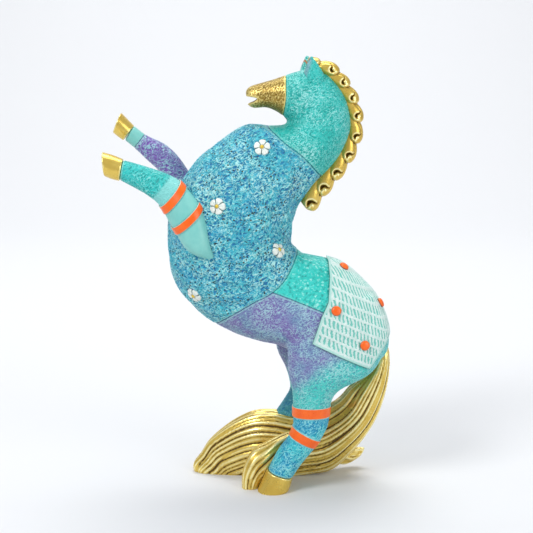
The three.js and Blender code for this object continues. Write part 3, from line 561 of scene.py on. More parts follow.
seams = {
    "muzzle": smoothLine([[12.7, 300], [13.2, 275], [11.6, 262], [10.4, 256.2]], 24),
    "neck": smoothLine([
        [-8, 259.5], [-3, 255.8], [3.7, 251.1], [13.2, 242.9],
        [24.8, 234.1], [37.1, 220], [43, 211],
    ], 40),
    "barrel": smoothLine([
        [28, 178], [22.9, 169.1], [13.4, 151.7], [3.8, 141.9],
        [-11.3, 133.5], [-30.7, 120.2], [-47, 106],
    ], 48),
    "loin": smoothLine([[-6, 146], [3.8, 142.4], [38.6, 129.2], [52, 124]], 24),
    "croup": smoothLine([
        [42, 176], [47, 161], [48.4, 150], [47, 134], [46.4, 118], [50, 106],
        [46.6, 95.6], [36.8, 86.8], [27.2, 79.7], [16.9, 73.3], [0, 64],
    ], 60),
    "cloth": [
        [33, 176], [38.4, 166.6], [42.6, 161.1], [43.2, 152.1], [42, 136.2], [37.3, 126.4],
        [31.2, 107.6], [52, 98.2], [71, 89.6], [84.2, 108.5], [110, 114], [110, 176],
    ],
}

# Cuts across the legs: x, z and the tilt from level in degrees
legCuts = {
    "hindUpperBand": (31, 58, 0),
    "hindLowerBand": (27.5, 38.4, -28),
    "nearHindHoof": (9.4, 12.4, -18.5),
    "farHindHoof": (-3.7, 12.7, -18.5),
    "farHind": (29, 60, -10),
    "foreUpperBand": (-63.6, 208.2, 50),
    "foreLowerBand": (-54.2, 194, 42),
    "nearForeHoof": (-98, 225.4, 80),
    "farForeArm": (-56.5, 204, 35),
    "farForeCollar": (-89.4, 241.1, 51),
    "farForeHoof": (-97, 246.6, 53),
}

finish = {  # voxel sizes in mm and rounds of smoothing
    "skin": (1.2, 10),
    "patch": (0.68, 2),
    "barrel": (0.74, 2),
    "muzzle": (0.5, 2),
    "legSkin": (0.8, 3),
    "castLeg": (0.55, 2),
    "plainLeg": (0.55, 3),
    "band": (0.4, 3),
    "hoof": (0.5, 3),
    "ear": (0.4, 2),
    "mane": (0.36, 2),
    "tail": (0.58, 1),
    "clothShell": (0.9, 4),
    "cloth": (0.5, 2),
}


# Paint: one pattern makes both the cast relief and its colours

reliefNames = ("Grains per metre", "Wander", "Worms", "Lean", "Squeeze")


def reliefValues(spec):
    return 1000.0 / spec["grain"], spec["wander"], spec["worms"], math.radians(spec["lean"]), spec["squeeze"]


def reliefField(sheet, density, wander, worms, lean, squeeze):
    # Height 0 to 1 of a stippled, worm-like relief. density is in grains per metre, and
    # squeeze below 1 draws the grains out along a line at the lean from level
    values = {"Vector": sheet.place, "Angle": lean}
    turned = sheet.add("ShaderNodeVectorRotate", values, rotation_type="Y_AXIS")
    place = sheet.vectors("MULTIPLY", turned, sheet.add("ShaderNodeCombineXYZ", (squeeze, 1.0, 1.0)))
    slow = sheet.noise(density * 0.4, 1.0, at=place, out="Color")
    sway = sheet.vectors("SUBTRACT", slow, (0.5, 0.5, 0.5))
    bent = sheet.vectors("ADD", place, sheet.scaled(sway, wander / density))
    ridge = abs(sheet.noise(density, 1.5, at=bent) - 0.5).map(0.0, 0.16, 1.0, 0.0)
    grain = sheet.cells(density * 0.8, bent).map(0.1, 0.75, 1.0, 0.0)
    return grain + (ridge - grain) * worms


def reliefMaker():
    maker = Maker("castRelief", [*reliefNames, "Depth"])
    height = reliefField(maker, *(maker.enter[name] for name in reliefNames))
    clear = maker.named("border").ease(0.5, 1.8)  # the relief fades out beside a border
    return maker.pushed((height - 0.5) * clear * maker.enter["Depth"])


castRelief = reliefMaker()


def reliefOn(obj, spec, material):
    values = dict(zip(reliefNames, reliefValues(spec)))
    return castRelief.run(obj, {**values, "Depth": spec["depth"] * mm, "Finish": material})


def patchPaint(name, spec):
    # Dry-brushed cast relief: deep colour in the hollows and pale flecks on the crests, partly the paint's
    # own and partly painted shade and painted highlight
    paint = Paint(name)
    height = reliefField(paint, *reliefValues(spec))
    border = paint.marked("border")
    cloud = paint.noise(1000.0 / spec["cloud"], 2.0, 0.55)
    colour = paint.blend(cloud.ease(0.36, 0.64), spec["body"], spec["bodyToo"])
    if "second" in spec:
        colour = paint.blend(sideShare(paint, **spec["side"]), colour, spec["second"])
    brush = paint.noise(1000.0 / spec["fleck"], 3.0, 0.6, 1.2)
    wide = paint.noise(1000.0 / spec["sweep"], 2.0, 0.5)
    stirred = height + (brush - 0.5) * spec["brushed"] + (wide - 0.5) * spec["swept"]
    # Deep colour in the hollows: dark paint and painted shade
    low = height.ease(spec["deepTo"], spec["deepFrom"])
    colour = paint.blend(low * spec["deepShare"], colour, spec["deep"])
    # Pale crests: dry-brushing and painted highlights
    dryBrushAndHighlight = stirred.ease(spec["dryBrushAndHighlightFrom"], spec["dryBrushAndHighlightTo"])
    colour = paint.blend(dryBrushAndHighlight * spec["dryBrushAndHighlightShare"], colour, spec["high"])
    # Painted shade: dark specks where small pits would be
    if "pits" in spec:
        hole = paint.cells(1000.0 / spec["pitSpacing"]).ease(0.16, 0.34, 1.0, 0.0)
        dark = hole * paint.noise(90.0).map(0.4, 0.56) * border.map(1.0, 2.5)
        colour = paint.blend(dark, colour, spec["pits"])
    pale = border.map(0.35, 0.6) * border.map(1.0, 1.5, 1.0, 0.0)
    colour = paint.blend(pale * spec["edgeShare"], colour, spec["edgeLine"])
    colour = paint.blend(border.map(0.1, 0.4, 1.0, 0.0) * spec["gapShare"], colour, spec["deep"])
    if "inner" in spec:
        # Painted shade along the ear's fold, then copper paint inside the hollow
        colour = paint.blend(paint.marked("fold") * 0.6, colour, spec["fold"])
        colour = paint.blend(paint.marked("inner"), colour, spec["inner"])
    return paint.shade(
        colour, height.map(0.1, 0.9, spec["rough"] + 0.1, spec["rough"] - 0.08), gloss=spec["gloss"],
        normal=paint.bump(height + paint.noise(2200.0) * 0.25, spec["bump"], 0.8),
    )


def goldPaint(name, spec):
    # Metallic gold, with a brown antique wash and painted shade in the grooves, and a painted highlight on
    # the crests
    paint = Paint(name)
    cloud = paint.noise(1000.0 / spec["cloud"], 3.0, 0.6)
    main = paint.blend(cloud.map(0.35, 0.65), spec["body"], spec["bodyToo"])
    sunk = paint.marked("cavity") + (cloud - 0.5) * spec["uneven"]
    # Antique wash and painted shade in the grooves
    washAndShade = sunk.ease(spec["washAndShadeFrom"], spec["washAndShadeTo"])
    # Painted highlight: pale colour on the convex crests
    crestHighlight = sunk.ease(spec["crestHighlightFrom"], spec["crestHighlightTo"])
    return paint.shade(
        paint.blend(crestHighlight, paint.blend(washAndShade, main, spec["washAndShade"]), spec["crestHighlight"]),
        cloud.map(0.3, 0.7, spec["rough"] - 0.04, spec["rough"] + 0.07),
        metallic=washAndShade.map(0.0, 1.0, spec["metal"], spec["washAndShadeMetal"]),
        normal=paint.bump(paint.noise(1000.0 / spec["brush"], 3.0, 0.6), spec["bump"]),
    )


def glossPaint(name, spec):
    # Smooth brushed-on paint; the wear and shade colour shows where the rim mark is high: worn pale edges on
    # the bands, painted shade at the studs' foot
    paint = Paint(name)
    cloud = paint.noise(1000.0 / spec["cloud"], 3.0, 0.6)
    fine = paint.noise(1400.0, 3.0, 0.6)
    main = paint.blend(cloud.map(0.35, 0.65), spec["body"], spec["bodyToo"])
    wearAndShade = ((fine - 0.5) * 0.5 + paint.marked("rim")).ease(0.5, 0.9)
    return paint.shade(
        paint.blend(wearAndShade, main, spec["wearAndShade"]), fine.map(0.3, 0.7, spec["rough"] - 0.05, spec["rough"] + 0.08),
        gloss=spec["gloss"], normal=paint.bump(cloud, 0.12),
    )


def sideShare(paint, x, z, tilt, soft, stir):
    # Share 0 to 1 across a soft border through x, z, lying at a tilt from level
    nx, nz = math.sin(math.radians(tilt)), -math.cos(math.radians(tilt))
    past = -((x + figureShift[0]) * nx + z * nz) * mm
    apart = [paint.add("ShaderNodeSeparateXYZ", [paint.place], axis) for axis in "XZ"]
    wave = (paint.noise(220.0, 3.0, 0.6) - 0.5) * (stir * mm)
    return (apart[0] * nx + apart[1] * nz + wave + past).ease(-soft * mm, soft * mm)


# Cast body: one skin, cut along the painted borders

body = {"trunk": (130, 80), "head": (60, 56), "nearHind": (70, 48), "farHind": (70, 48)}  # rings and sides
swells = {"height": 0.8, "along": 13, "round": 10, "from": 0.27, "to": 0.66, "fade": 0.06}


def smoothShare(value, low):
    share = np.clip((value - low) / swells["fade"], 0, 1)
    return share * share * (3 - 2 * share)


def barrelSwell(t, angle):
    fade = smoothShare(t, swells["from"]) * (1 - smoothShare(t, swells["to"] - swells["fade"]))
    return swells["height"] * fade * np.cos(2 * math.pi * swells["along"] * t - swells["round"] * angle)


def bodySkin(name, grow, fine):
    shells = [loft(form["trunk"], *body["trunk"], grow, strands=barrelSwell)]
    for part, side in (("head", 1), ("nearHind", -1), ("farHind", 1)):
        shells.append(loft(form[part], *body[part], grow, side))
    return remeshed(joined(name, *shells), *fine)


skin = bodySkin("skin", 0.0, finish["skin"])
print("skin", len(skin.data.polygons))

frontEdge, rearEdge, topEdge, lowEdge = -140.0, 120.0, 300.0, -20.0


def region(seam, *corners):
    # Inside a painted border that corners close; None in a corner takes the border's own end
    line = seams[seam]
    ends = [line[-1]] * (len(corners) - 1) + [line[0]]
    closed = [[own if typed is None else typed for own, typed in zip(*pair)] for pair in zip(ends, corners)]
    return prism(seam + "Cutter", line + closed)


cutters = {
    "muzzle": region("muzzle", (frontEdge, None), (frontEdge, topEdge)),
    "belowNeck": region(
        "neck", (rearEdge, None), (rearEdge, lowEdge), (frontEdge, lowEdge), (frontEdge, None),
    ),
    "behindBarrel": region("barrel", (None, lowEdge), (rearEdge, lowEdge), (rearEdge, None)),
    "aboveLoin": region("loin", (None, topEdge), (None, topEdge)),
    "behindCroup": region(
        "croup", (frontEdge, None), (frontEdge, lowEdge), (rearEdge, lowEdge), (rearEdge, None),
    ),
    "cloth": region("cloth"),
}
underFloor = prism("underFloor", [(frontEdge, lowEdge), (rearEdge, lowEdge), (rearEdge, 0), (frontEdge, 0)])

mouth = {
    "front": -14.6, "height": 270.9, "depth": 9.5, "opening": 6.4,
    # in shares of the depth and the opening
    "outline": [[-0.3, 0.5], [0.45, 0.42], [1, 0.25], [0.6, -0.15], [-0.3, -0.62]],
}
mouthCutter = prism("mouthCutter", [
    (mouth["front"] + deep * mouth["depth"], mouth["height"] + high * mouth["opening"])
    for deep, high in mouth["outline"]
])

made = {}
for name, steps in {
    "muzzlePatch": {"belowNeck": "DIFFERENCE", "muzzle": "INTERSECT"},
    "headPatch": {"belowNeck": "DIFFERENCE", "muzzle": "DIFFERENCE"},
    "barrelPatch": {"belowNeck": "INTERSECT", "behindBarrel": "DIFFERENCE"},
    "rearPatch": {"belowNeck": "INTERSECT", "behindBarrel": "INTERSECT"},
}.items():
    made[name] = copyOf(skin, name)
    for cutter, how in steps.items():
        combine(made[name], how, cutters[cutter])
loinRoom = combine(copyOf(cutters["aboveLoin"], "loinRoom"), "DIFFERENCE", cutters["behindCroup"])
made["loinPatch"] = combine(copyOf(made["rearPatch"], "loinPatch"), "INTERSECT", loinRoom)
belowThighs = [
    crossSlab("nearBelow", "hindUpperBand", -90, 0, -1),
    crossSlab("farBelow", "farHind", -90, 0, 1),
]
combine(made["rearPatch"], "DIFFERENCE", loinRoom, *belowThighs, last=True)
combine(made["muzzlePatch"], "DIFFERENCE", mouthCutter, last=True)
print("patches cut")

turquoise = {
    "grain": 1.3, "depth": 0.36, "wander": 1.8, "worms": 0.9, "lean": 40, "squeeze": 0.55,
    "cloud": 26.0, "fleck": 1.2, "brushed": 1.1, "sweep": 24.0, "swept": 1.0,
    "body": tint(12, 178, 168), "bodyToo": tint(30, 192, 184),
    # deep is dark paint and painted shade in the hollows; high is dry-brush and painted highlight on the
    # crests
    "deep": tint(8, 138, 134), "deepTo": 0.4, "deepFrom": 0.0, "deepShare": 0.8,
    "high": tint(170, 228, 226), "dryBrushAndHighlightFrom": 0.6, "dryBrushAndHighlightTo": 1.05, "dryBrushAndHighlightShare": 0.8,
    "edgeLine": tint(120, 205, 196), "edgeShare": 0.4, "gapShare": 0.5,
    "rough": 0.42, "gloss": 0.5, "bump": 0.5,
}
aquaPebble = {
    **turquoise,
    "grain": 1.9, "depth": 0.7, "wander": 2.4, "worms": 0.75, "lean": 25, "squeeze": 0.75,
    "cloud": 10.0, "fleck": 1.5, "sweep": 22.0, "swept": 0.9,
    "body": tint(40, 164, 196), "bodyToo": tint(62, 186, 202),
    "deep": tint(16, 98, 156), "deepTo": 0.42, "deepShare": 0.95,
    "high": tint(182, 236, 232), "dryBrushAndHighlightFrom": 0.48, "dryBrushAndHighlightTo": 0.95, "dryBrushAndHighlightShare": 0.9,
    # pits is the painted shade of small pits
    "pits": tint(40, 50, 38), "pitSpacing": 2.5,
    "edgeLine": tint(128, 204, 200), "edgeShare": 0.75, "gapShare": 0.4, "bump": 1.0,
}
loinStipple = {
    **turquoise,
    "grain": 1.9, "depth": 0.42, "wander": 1.2, "worms": 0.35, "squeeze": 0.8,
    "fleck": 1.6, "brushed": 1.0, "swept": 0.5,
    "body": tint(22, 188, 176), "bodyToo": tint(42, 200, 190),
    "high": tint(168, 230, 222), "dryBrushAndHighlightFrom": 0.55, "dryBrushAndHighlightTo": 0.95,
}
crackle = {
    **turquoise,
    "grain": 1.4, "lean": 30, "squeeze": 0.6,
    "cloud": 18.0, "fleck": 1.6, "brushed": 0.9, "sweep": 16.0,
    "body": tint(106, 138, 176), "bodyToo": tint(120, 108, 172),
    "deep": tint(88, 84, 146), "deepTo": 0.35, "deepShare": 0.5,
    "high": tint(162, 208, 212), "dryBrushAndHighlightFrom": 0.5, "dryBrushAndHighlightTo": 1.0,
    "edgeLine": tint(140, 204, 200), "edgeShare": 0.6, "gapShare": 0.4,
}
flankCrackle = {
    **crackle,
    "second": tint(56, 194, 186), "side": {"x": 31.8, "z": 84.4, "tilt": 36.9, "soft": 6, "stir": 12},
}
violetStipple = {
    **crackle,
    "grain": 1.5, "cloud": 12.0,
    "body": tint(126, 92, 178), "bodyToo": tint(128, 122, 178), "deep": tint(92, 66, 144),
    "high": tint(160, 214, 216), "dryBrushAndHighlightFrom": 0.52, "dryBrushAndHighlightTo": 0.95, "dryBrushAndHighlightShare": 0.85,
}
blueStipple = {
    **turquoise,
    "grain": 1.5, "depth": 0.4, "worms": 0.8, "cloud": 13.0, "fleck": 1.4,
    "body": tint(24, 152, 188), "bodyToo": tint(46, 188, 198),
    "deep": tint(14, 110, 156), "deepShare": 0.7,
    "high": tint(150, 222, 222), "dryBrushAndHighlightFrom": 0.5, "dryBrushAndHighlightTo": 1.0, "dryBrushAndHighlightShare": 0.85,
    "edgeLine": tint(140, 214, 214), "edgeShare": 0.8,
}
# Painted shade: a darker copy of the blue stipple for the far hind leg
shadowedBlue = {
    **blueStipple,
    "body": tint(30, 112, 130), "bodyToo": tint(36, 130, 140), "high": tint(90, 170, 180),
}
foreStipple = {
    **turquoise,
    "grain": 1.6, "depth": 0.38,
    "body": tint(14, 176, 170), "bodyToo": tint(34, 190, 186), "deep": tint(8, 134, 134), "deepShare": 0.85,
    "high": tint(160, 226, 224),
    "second": tint(122, 208, 204), "side": {"x": -70.5, "z": 212.5, "tilt": 53, "soft": 4, "stir": 6},
    "edgeLine": tint(126, 208, 204), "edgeShare": 0.9,
}
# fold is painted shade in the ear's front fold; inner is copper paint inside the hollow
earCast = {**turquoise, "depth": 0.25, "inner": tint(176, 112, 62), "fold": tint(140, 158, 180)}
casts = {
    "turquoiseCast": turquoise, "aquaPebbleCast": aquaPebble, "loinStippleCast": loinStipple,
    "flankCrackleCast": flankCrackle, "violetStippleCast": violetStipple, "blueStippleCast": blueStipple,
    "tealShadeCast": shadowedBlue, "foreStippleCast": foreStipple, "earCast": earCast,
}

gold = {
    "cloud": 14.0, "uneven": 0.25, "metal": 0.55, "washAndShadeMetal": 0.35, "rough": 0.24, "brush": 1.1, "bump": 0.2,
    "body": tint(226, 196, 96), "bodyToo": tint(212, 178, 76),
    # Grooves: antique wash and painted shade; crests: painted highlight
    "washAndShade": tint(92, 68, 18), "washAndShadeFrom": 0.54, "washAndShadeTo": 0.86,
    "crestHighlight": tint(253, 240, 172), "crestHighlightFrom": 0.38, "crestHighlightTo": 0.08,
}
muzzleGold = {
    **gold,
    "rough": 0.38, "uneven": 0.4,
    "body": tint(166, 138, 58), "bodyToo": tint(146, 118, 46),
    # Painted shade in the grooves and painted highlight on the crests, as on the gold
    "washAndShade": tint(96, 72, 24), "washAndShadeFrom": 0.5, "washAndShadeTo": 0.9, "crestHighlight": tint(226, 206, 128),
}
smoothPaint = {
    "body": tint(116, 192, 186), "bodyToo": tint(130, 200, 192), "wearAndShade": tint(96, 186, 186),
    "rough": 0.34, "gloss": 0.45, "cloud": 9.0,
}
enamel = {
    "body": tint(244, 106, 14), "bodyToo": tint(236, 94, 12), "wearAndShade": tint(168, 210, 200),
    "rough": 0.3, "gloss": 0.5, "cloud": 6.0,
}

paints = {name: patchPaint(name, spec) for name, spec in casts.items()}
paints["gold"] = goldPaint("antiqueGold", gold)
paints["muzzleGold"] = goldPaint("brushedGold", muzzleGold)
paints["smooth"] = glossPaint("paleSmoothPaint", smoothPaint)
paints["enamel"] = glossPaint("orangeEnamel", enamel)
# Painted shade: dark colour at the stud's foot where it meets the cloth
paints["stud"] = glossPaint("orangeStudEnamel", {**enamel, "wearAndShade": tint(96, 66, 52)})


def relieved(piece, cast):
    return reliefOn(piece, casts[cast], paints[cast])


def castPatch(name, cast, lines, slot, *nodes, grid="patch"):
    piece = remeshed(made[name], *finish[grid])
    mark(piece, "border", lineDistance(pointsOf(piece), *(seams[line] for line in lines)))
    dressed(relieved(piece, cast), slot, *nodes)


castPatch("headPatch", "turquoiseCast", ["muzzle", "neck"], "turquoise_paint", "head_and_neck")
castPatch("barrelPatch", "aquaPebbleCast", ["neck", "barrel"], "aqua_paint", "barrel", grid="barrel")
castPatch("loinPatch", "loinStippleCast", ["barrel", "loin"], "turquoise_paint", "loin_panel")
castPatch("rearPatch", "flankCrackleCast", ["barrel", "loin"], "purple_paint", "flank_panel", "hindquarters")

muzzleRelief = {
    "grain": 1.2, "depth": 0.22, "wander": 1.8, "worms": 1.0, "lean": 60, "squeeze": 0.5,
    "hollow": 0.12, "rounds": 6,
}
muzzle = remeshed(made["muzzlePatch"], *finish["muzzle"])
mark(muzzle, "border", lineDistance(pointsOf(muzzle), seams["muzzle"]))
reliefOn(muzzle, muzzleRelief, paints["muzzleGold"])
markCavity(muzzle, muzzleRelief["rounds"], muzzleRelief["hollow"])
dressed(muzzle, "gold_paint", "muzzle")


# Legs, their bands and hoofs

legForm = {
    "skinRings": 110,
    "skinSides": 56,
    "foreTrim": -0.18,
    "farAway": 50.0,  # border distance of what has no border near
    "calm": 0.62,  # border distance where the relief is faint and no line shows
    "calmRun": 3.0,
}
legs = {}
for name, side, grow in (
    ("nearHind", -1, 0.0), ("farHind", 1, 0.0),
    ("nearFore", -1, legForm["foreTrim"]), ("farFore", 1, legForm["foreTrim"]),
):
    shell = loft(form[name], legForm["skinRings"], legForm["skinSides"], grow, side)
    legs[name] = remeshed(joined(name + "Skin", shell), *finish["legSkin"])
    if grow:
        combine(legs[name], "DIFFERENCE", skin)


def between(name, leg, *spans):
    # Length of a leg inside the spans: cut, from and to along the leg
    side = -1 if leg.startswith("near") else 1
    slabs = [crossSlab(f"{name}Slab{k}", cut, low, high, side) for k, (cut, low, high) in enumerate(spans)]
    return combine(copyOf(legs[leg], name), "INTERSECT", *slabs, last=True)


def cutDistance(points, cut):
    x, z, tilt = legCuts[cut]
    turn = math.radians(tilt)
    return (points[:, 0] - x) * -math.sin(turn) + (points[:, 2] - z) * math.cos(turn)


def castLeg(piece, cast, slot, node, *borders):
    # Borders are a cut, how far beside it the paint ends, and whether it ends without a line
    remeshed(piece, *finish["castLeg"])
    points = pointsOf(piece)
    border = np.full(len(points), legForm["farAway"])
    for cut, inset, calm in borders:
        away = np.abs(cutDistance(points, cut)) - inset
        if calm:
            away = legForm["calm"] + np.maximum(0, away / legForm["calmRun"])
        border = np.minimum(border, away)
    mark(piece, "border", border)
    dressed(relieved(piece, cast), slot, node)


def plainLeg(piece, node):
    remeshed(piece, *finish["plainLeg"])
    mark(piece, "rim", np.zeros(len(piece.data.vertices)))
    dressed(coated(piece, paints["smooth"]), "pale_turquoise_paint", node)


castLeg(between("nearHock", "nearHind", ("hindUpperBand", -90, 0), ("hindLowerBand", 0, 90)),
        "blueStippleCast", "teal_paint", "near_hind_hock",
        ("hindUpperBand", 3.2, False), ("hindLowerBand", 2.9, False))
castLeg(between("nearCannon", "nearHind", ("hindLowerBand", -90, 0), ("nearHindHoof", 0, 90)),
        "blueStippleCast", "teal_paint", "near_hind_cannon",
        ("hindLowerBand", 2.9, False), ("nearHindHoof", 0, False))
castLeg(between("farCannon", "farHind", ("farHind", -90, 0), ("farHindHoof", 0, 90)),
        "tealShadeCast", "teal_paint", "far_hind_cannon", ("farHindHoof", 0, False))
castLeg(between("nearForeCannon", "nearFore", ("foreUpperBand", 0, 90), ("nearForeHoof", -90, 0)),
        "foreStippleCast", "turquoise_paint", "near_fore_cannon",
        ("foreUpperBand", 7.0, True), ("nearForeHoof", 0, False))
castLeg(between("farForeCannon", "farFore", ("farForeArm", 0, 90), ("farForeCollar", -90, 0)),
        "violetStippleCast", "purple_paint", "far_fore_cannon", ("farForeCollar", 0, False))

plainLeg(between("nearArm", "nearFore", ("foreLowerBand", -90, 0)), "near_fore_arm")
plainLeg(between("nearElbow", "nearFore", ("foreLowerBand", 0, 90), ("foreUpperBand", -90, 0)),
         "near_fore_elbow")
plainLeg(between("farArm", "farFore", ("farForeArm", -90, 0)), "far_fore_arm")
plainLeg(between("farCollar", "farFore", ("farForeCollar", 0, 90), ("farForeHoof", -90, 0)),
         "far_fore_collar")

bandForm = {
    "thickness": 0.7,
    "rings": 110,
    "sides": 64,
    "foreRadius": 9.5,
    "wornFrom": 0.55,  # in from the edge
    "wornRun": 0.35,
    # node, leg, width, and a bow towards the body with the leg's middle y
    "hindUpperBand": ("near_hind_band_upper", "nearHind", 7.4, 0.0, 0.0),
    "hindLowerBand": ("near_hind_band_lower", "nearHind", 6.8, 0.0, 0.0),
    "foreUpperBand": ("near_fore_band_upper", "nearFore", 5.4, 2.2, 28.5),
    "foreLowerBand": ("near_fore_band_lower", "nearFore", 5.4, 2.0, 31.5),
}


def legBand(name):
    node, leg, width, bow, middle = bandForm[name]

    def bowed(points):
        return bow * (-middle - points[:, 1]) / bandForm["foreRadius"]

    ring, inner = (
        joined(name + part, loft(form[leg], bandForm["rings"], bandForm["sides"], grow, -1))
        for part, grow in (("", bandForm["thickness"]), ("Inner", 0.0))
    )
    slab = crossSlab(name + "Slab", name, -width / 2, width / 2, -1)
    points = pointsOf(slab)
    tilt = math.radians(legCuts[name][2])
    putPoints(slab, points + np.outer(bowed(points), [math.sin(tilt), 0, -math.cos(tilt)]))
    combine(ring, "INTERSECT", slab, last=True)
    combine(ring, "DIFFERENCE", inner, last=True)
    if bow:
        combine(ring, "DIFFERENCE", skin)
    remeshed(ring, *finish["band"])
    points = pointsOf(ring)
    off = np.abs(cutDistance(points, name) + bowed(points))
    mark(ring, "rim", np.clip((off - (width / 2 - bandForm["wornFrom"])) / bandForm["wornRun"], 0, 1))
    dressed(coated(ring, paints["enamel"]), "orange_enamel", node)


for name in ("hindUpperBand", "hindLowerBand", "foreUpperBand", "foreLowerBand"):
    legBand(name)

hoofForm = {"rings": 24, "sides": 56, "rounds": 8, "hollow": 0.5}


def hoofPiece(name, side, onFloor, node):
    hoof = joined(name, loft(form[name], hoofForm["rings"], hoofForm["sides"], 0.0, side))
    low, high = (-90, 0) if onFloor else (0, 90)
    combine(hoof, "INTERSECT", crossSlab(name + "Slab", name, low, high, side), last=True)
    combine(hoof, "DIFFERENCE", underFloor)
    remeshed(hoof, *finish["hoof"])
    points = pointsOf(hoof)
    points[:, 2] = np.maximum(points[:, 2], 0.0)
    putPoints(hoof, points)
    markCavity(hoof, hoofForm["rounds"], hoofForm["hollow"])
    dressed(coated(hoof, paints["gold"]), "gold_paint", node)


hoofPiece("nearHindHoof", -1, True, "near_hind_hoof")
hoofPiece("farHindHoof", 1, True, "far_hind_hoof")
hoofPiece("nearForeHoof", -1, False, "near_fore_hoof")
hoofPiece("farForeHoof", 1, False, "far_fore_hoof")


# Ears

earForm = {
    "stations": [
        [24.8, 284, 39.5, 281, 6.4], [25.6, 290.5, 39.0, 288.4, 5.8],
        [27.4, 296, 35.4, 294.8, 3.8], [29.8, 301, 31.2, 300.8, 0.9],
    ],
    "offset": 8.5,
    "farForward": 2.5,
    "hollow": {"front": 3, "back": 5, "lift": 1, "narrow": 0.72, "inwards": 3.3},
    "innerWall": (0.75, 0.45),  # distance from the hollow where its colour starts and is full
    "mesh": (40, 40),  # rings and sides
    "hollowMesh": (40, 32),
    "fold": [[29.4, 298.6], [27.6, 293], [26.0, 287.5], [26.4, 281.5]],
    "foldSteps": 12,
    "foldWidth": 1.5,
    "foldDepth": 1.3,
}


def earPiece(name, side, forward, node):
    off, cut = earForm["offset"], earForm["hollow"]
    outer = [[fx - forward, fz, bx - forward, bz, w, off] for fx, fz, bx, bz, w in earForm["stations"]]
    inner = [[fx - cut["front"], fz + cut["lift"], bx - cut["back"], bz + cut["lift"], w * cut["narrow"],
              y - cut["inwards"]] for fx, fz, bx, bz, w, y in outer]
    ear = joined(name, loft(outer, *earForm["mesh"], 0.0, side))
    hollow = joined(name + "Hollow", loft(inner, *earForm["hollowMesh"], 0.0, side))
    combine(ear, "DIFFERENCE", hollow, skin)
    remeshed(ear, *finish["ear"])
    tree = treeOf(hollow)
    drop(hollow)
    near = np.array([tree.find_nearest(v.co)[3] for v in ear.data.vertices]) / mm
    mark(ear, "inner", np.interp(near, earForm["innerWall"][::-1], (1, 0)))
    points = pointsOf(ear)
    away = lineDistance(points, throughPoints(earForm["fold"], np.linspace(0, 1, earForm["foldSteps"])))
    fold = np.exp(-(away / earForm["foldWidth"]) ** 2) * (points[:, 1] * side > off)
    points[:, 1] -= side * earForm["foldDepth"] * fold
    putPoints(ear, points)
    # The fold mark also carries the fold's painted shade
    mark(ear, "fold", fold)
    mark(ear, "border", np.full(len(points), legForm["farAway"]))
    dressed(relieved(ear, "earCast"), "turquoise_paint", node)


earPiece("nearEar", -1, 0.0, "near_ear")
earPiece("farEar", 1, earForm["farForward"], "far_ear")


# Mane: scrolled locks that follow the crest

maneForm = {
    "locks": 10,
    "halfWidth": 6.5,
    "reach": 9.5,
    "firstCurl": 16.4,
    "pitch": 10.2,
    "spread": 0.29,
    "size": (0.95, -0.02, 0.0095),
    "start": 1.0,
    "forelockBack": 11.5,
    "forelockSize": 0.85,
    "curlPlace": (-0.05, 0.63),
    "bead": 1.45,
    "beadTop": 0.96,
    "pitRadius": 2.1,
    "pitTurns": (-10, 40, 85, 130),
    "grooveShares": [0, 0.45, 0.8, 1],
    "grooveWidths": [0.4, 0.5, 0.95, 0.5],
    "grooveDepths": [0.2, 1.0, 3.4, 0.8],
    "grooveSteps": 44,
    "mesh": (26, 32),  # rings and sides of a lock
    "comma": [
        [-1.42, -0.37, -1.42, 0.03, 0.55], [-1.03, -0.37, -1.13, 0.42, 0.72],
        [-0.54, -0.34, -0.69, 0.8, 0.9], [-0.14, -0.2, -0.2, 1, 1],
        [0.13, 0.03, 0.2, 0.93, 1], [0.28, 0.34, 0.38, 0.64, 0.6],
    ],
    "rim": [(-1.0, 0.36), (-0.66, 0.62), (-0.36, 0.78)],
    "rounds": 14,
    "hollow": 0.4,
}
crestPoints = [[27.5, 292.2]] + [station[2:4] for station in form["trunk"][:9]]
crestLine = throughPoints(crestPoints, np.linspace(0, 1, 2001))
crestRun = np.concatenate([[0], np.cumsum(np.linalg.norm(np.diff(crestLine, axis=0), axis=1))])
crestSlope = np.gradient(crestLine, axis=0)
crestSlope /= np.linalg.norm(crestSlope, axis=1)[:, None]


def crestPlace(distance, out):
    held = min(max(distance, 0.0), crestRun[-1])
    here, down = (
        np.array([np.interp(held, crestRun, column) for column in line.T]) for line in (crestLine, crestSlope)
    )
    return here + down * (distance - held) + np.array([-down[1], down[0]]) * out


